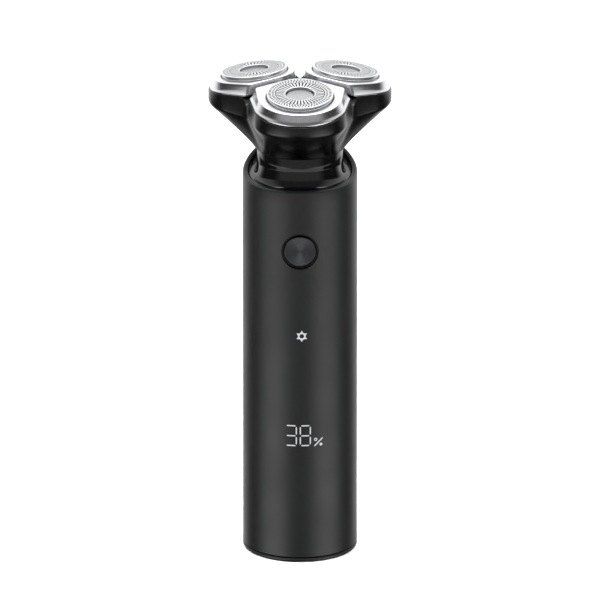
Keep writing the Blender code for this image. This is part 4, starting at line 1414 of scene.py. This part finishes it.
@dataclass
class Studio:
    """Pale floor, soft surroundings, lights and camera."""

    elevation: float = 19.0
    distance: float = 6.0
    aim_height: float = 0.0876
    lens: float = 1062.0
    floor_size: float = 16.0
    card_height: float = -0.325  # how far down a low card in front stands, as the Z of its direction
    card_reach: float = 0.034  # half its height, in the same measure
    floor_colour: str = "#f4f4f4"

    def build(self) -> None:
        """Set up the studio."""
        self.build_floor()
        self.build_surroundings()
        self.add_light("overhead_panel", (0.0, 0.25, 1.6), (1.6, 1.2), 26.0, True)
        self.add_light("left_strip", (-0.95, -0.62, 0.95), (0.16, 1.2), 26.0, False)
        self.add_light("right_strip", (0.95, -0.62, 0.95), (0.16, 1.2), 22.0, False)
        self.add_camera()
        bpy.context.scene.view_settings.view_transform = "Standard"

    def build_floor(self) -> None:
        """Pale floor that curves up far behind."""
        bpy.ops.object.select_all(action="DESELECT")
        bpy.ops.mesh.primitive_plane_add(size=self.floor_size, location=(0.0, 0.0, -0.1 * MM))
        floor = start("floor")
        half = self.floor_size / 2
        pick_edges(floor, lambda one, two: min(one.y, two.y) * MM > half * 0.9)
        bpy.ops.mesh.extrude_edges_move(TRANSFORM_OT_translate={"value": (0.0, 0.0, 2.0)})
        pick_edges(floor, lambda one, two: min(one.y, two.y) * MM > half * 0.9 and max(one.z, two.z) < 1.0)
        bpy.ops.mesh.bevel(offset=1.2, segments=12)
        bpy.ops.object.mode_set(mode="OBJECT")
        bpy.ops.object.shade_smooth_by_angle(angle=SMOOTH_ANGLE)
        # Pale paper: flat and near white, with tones that drift too slowly to see.
        paper = Grained("pale_paper_sweep", self.floor_colour, 0.9, specular=0.1, grain=2.0, relief=0.0,
                        drift=400.0, gloss_drift=0.02, deep="#f1f1f1", tone=0.3)
        floor.data.materials.append(paper.material())
        floor.visible_glossy = False

    def build_surroundings(self) -> None:
        """Soft surroundings, seen by direction and height.

        Low down, bright bands stand at both sides of a dark front and it is pale behind, with a
        low card in front. At eye level, the sides are dark. High up, the front is dimmer and the
        sides and back are bright. Straight below it is dark.
        """
        world = bpy.data.worlds.new("studio")
        bpy.context.scene.world = world
        world.use_nodes = True
        tree = world.node_tree
        direction = add_node(tree, "ShaderNodeTexCoord").outputs["Generated"]
        split = add_node(tree, "ShaderNodeSeparateXYZ", None, {0: direction})
        height = split.outputs["Z"]
        width = add_node(tree, "ShaderNodeMath", None, {0: split.outputs["X"]}, operation="ABSOLUTE")
        depth = add_node(tree, "ShaderNodeMath", {1: -1.0}, {0: split.outputs["Y"]}, operation="MULTIPLY")
        angle = add_node(tree, "ShaderNodeMath", None, {0: width.outputs[0], 1: depth.outputs[0]},
                         operation="ARCTAN2")
        turn = add_node(tree, "ShaderNodeMath", {1: math.pi}, {0: angle.outputs[0]}, operation="DIVIDE")
        upper, lower, table, high = [self.add_ramp(tree, turn.outputs[0], stops) for stops in (
            [(0, 0.48), (45, 0.46), (72, 0.06), (106, 0.05), (132, 1.5), (180, 1.6)],
            [(0, 0.02), (12, 0.04), (50, 3.9), (68, 3.6), (100, 0.04), (130, 0.04), (150, 1.0),
             (180, 1.0)],
            [(0, 1.4), (58, 1.2), (72, 0.02), (130, 0.04), (150, 1.0), (180, 1.0)],
            [(0, 0.20), (50, 0.20), (88, 0.9), (132, 1.5), (180, 1.6)],
        )]
        near = add_node(tree, "ShaderNodeMath", {1: self.card_height, 2: self.card_reach}, {0: height},
                        operation="COMPARE")
        ground = blend(tree, near.outputs[0], lower, table)
        above = blend(tree, fade(tree, height, 0.20, 0.30), upper, high)
        walls = blend(tree, fade(tree, height, -0.295, -0.275), ground, above)
        background = tree.nodes["Background"]
        tree.links.new(walls, background.inputs["Color"])
        tree.links.new(fade(tree, height, -0.75, -0.45, 0.06), background.inputs["Strength"])

    def add_ramp(self, tree: Tree, turn: Socket, stops: Sequence[Point]) -> Socket:
        """Add a grey ramp that goes round from the front to the back.

        Args:
            tree: the world's tree.
            turn: 0 at the front and 1 at the back.
            stops: (angle from the front in degrees, brightness) of each stop.

        Returns:
            The ramp's colour.
        """
        node = add_node(tree, "ShaderNodeValToRGB", None, {0: turn})
        ramp = node.color_ramp
        ramp.interpolation = "EASE"
        while len(ramp.elements) < len(stops):
            ramp.elements.new(0.5)
        for element, (angle, value) in zip(ramp.elements, stops):
            element.position = angle / 180.0
            element.color = (value, value, value, 1.0)
        return node.outputs[0]

    def add_light(
        self, name: str, place: tuple[float, float, float], size: Point, power: float, reflected: bool
    ) -> None:
        """Add a soft rectangular light that faces the shaver.

        Args:
            name: name of the light.
            place: its position in metres.
            size: its width and height in metres.
            power: its power in watts.
            reflected: whether glossy surfaces mirror it.
        """
        data = bpy.data.lights.new(name, "AREA")
        data.shape = "RECTANGLE"
        data.size, data.size_y = size
        data.energy = power
        light = bpy.data.objects.new(name, data)
        bpy.context.scene.collection.objects.link(light)
        light.location = place
        light.visible_glossy = reflected
        toward = Vector((0.0, 0.0, self.aim_height)) - Vector(place)
        light.rotation_euler = toward.to_track_quat("-Z", "Y").to_euler()

    def add_camera(self) -> None:
        """Add the camera, looking down a little at the front."""
        data = bpy.data.cameras.new("camera")
        data.lens = self.lens
        camera = bpy.data.objects.new("camera", data)
        bpy.context.scene.collection.objects.link(camera)
        rise = math.radians(self.elevation)
        away = Vector((0.0, -math.cos(rise), math.sin(rise))) * self.distance
        camera.location = Vector((0.0, 0.0, self.aim_height)) + away
        camera.rotation_euler = (-away).to_track_quat("-Z", "Y").to_euler()
        bpy.context.scene.camera = camera


def main() -> None:
    """Build the shaver's looks and the studio round it."""
    logging.basicConfig(level=logging.INFO, format="%(name)s: %(message)s")
    log.info("dressed %d CAD nodes", dress_cad_nodes())
    for assembly in (Handle(), Head(), Symbols(), Studio()):
        assembly.build()
        log.info("built the %s", type(assembly).__name__.lower())


if __name__ == "__main__":
    main()
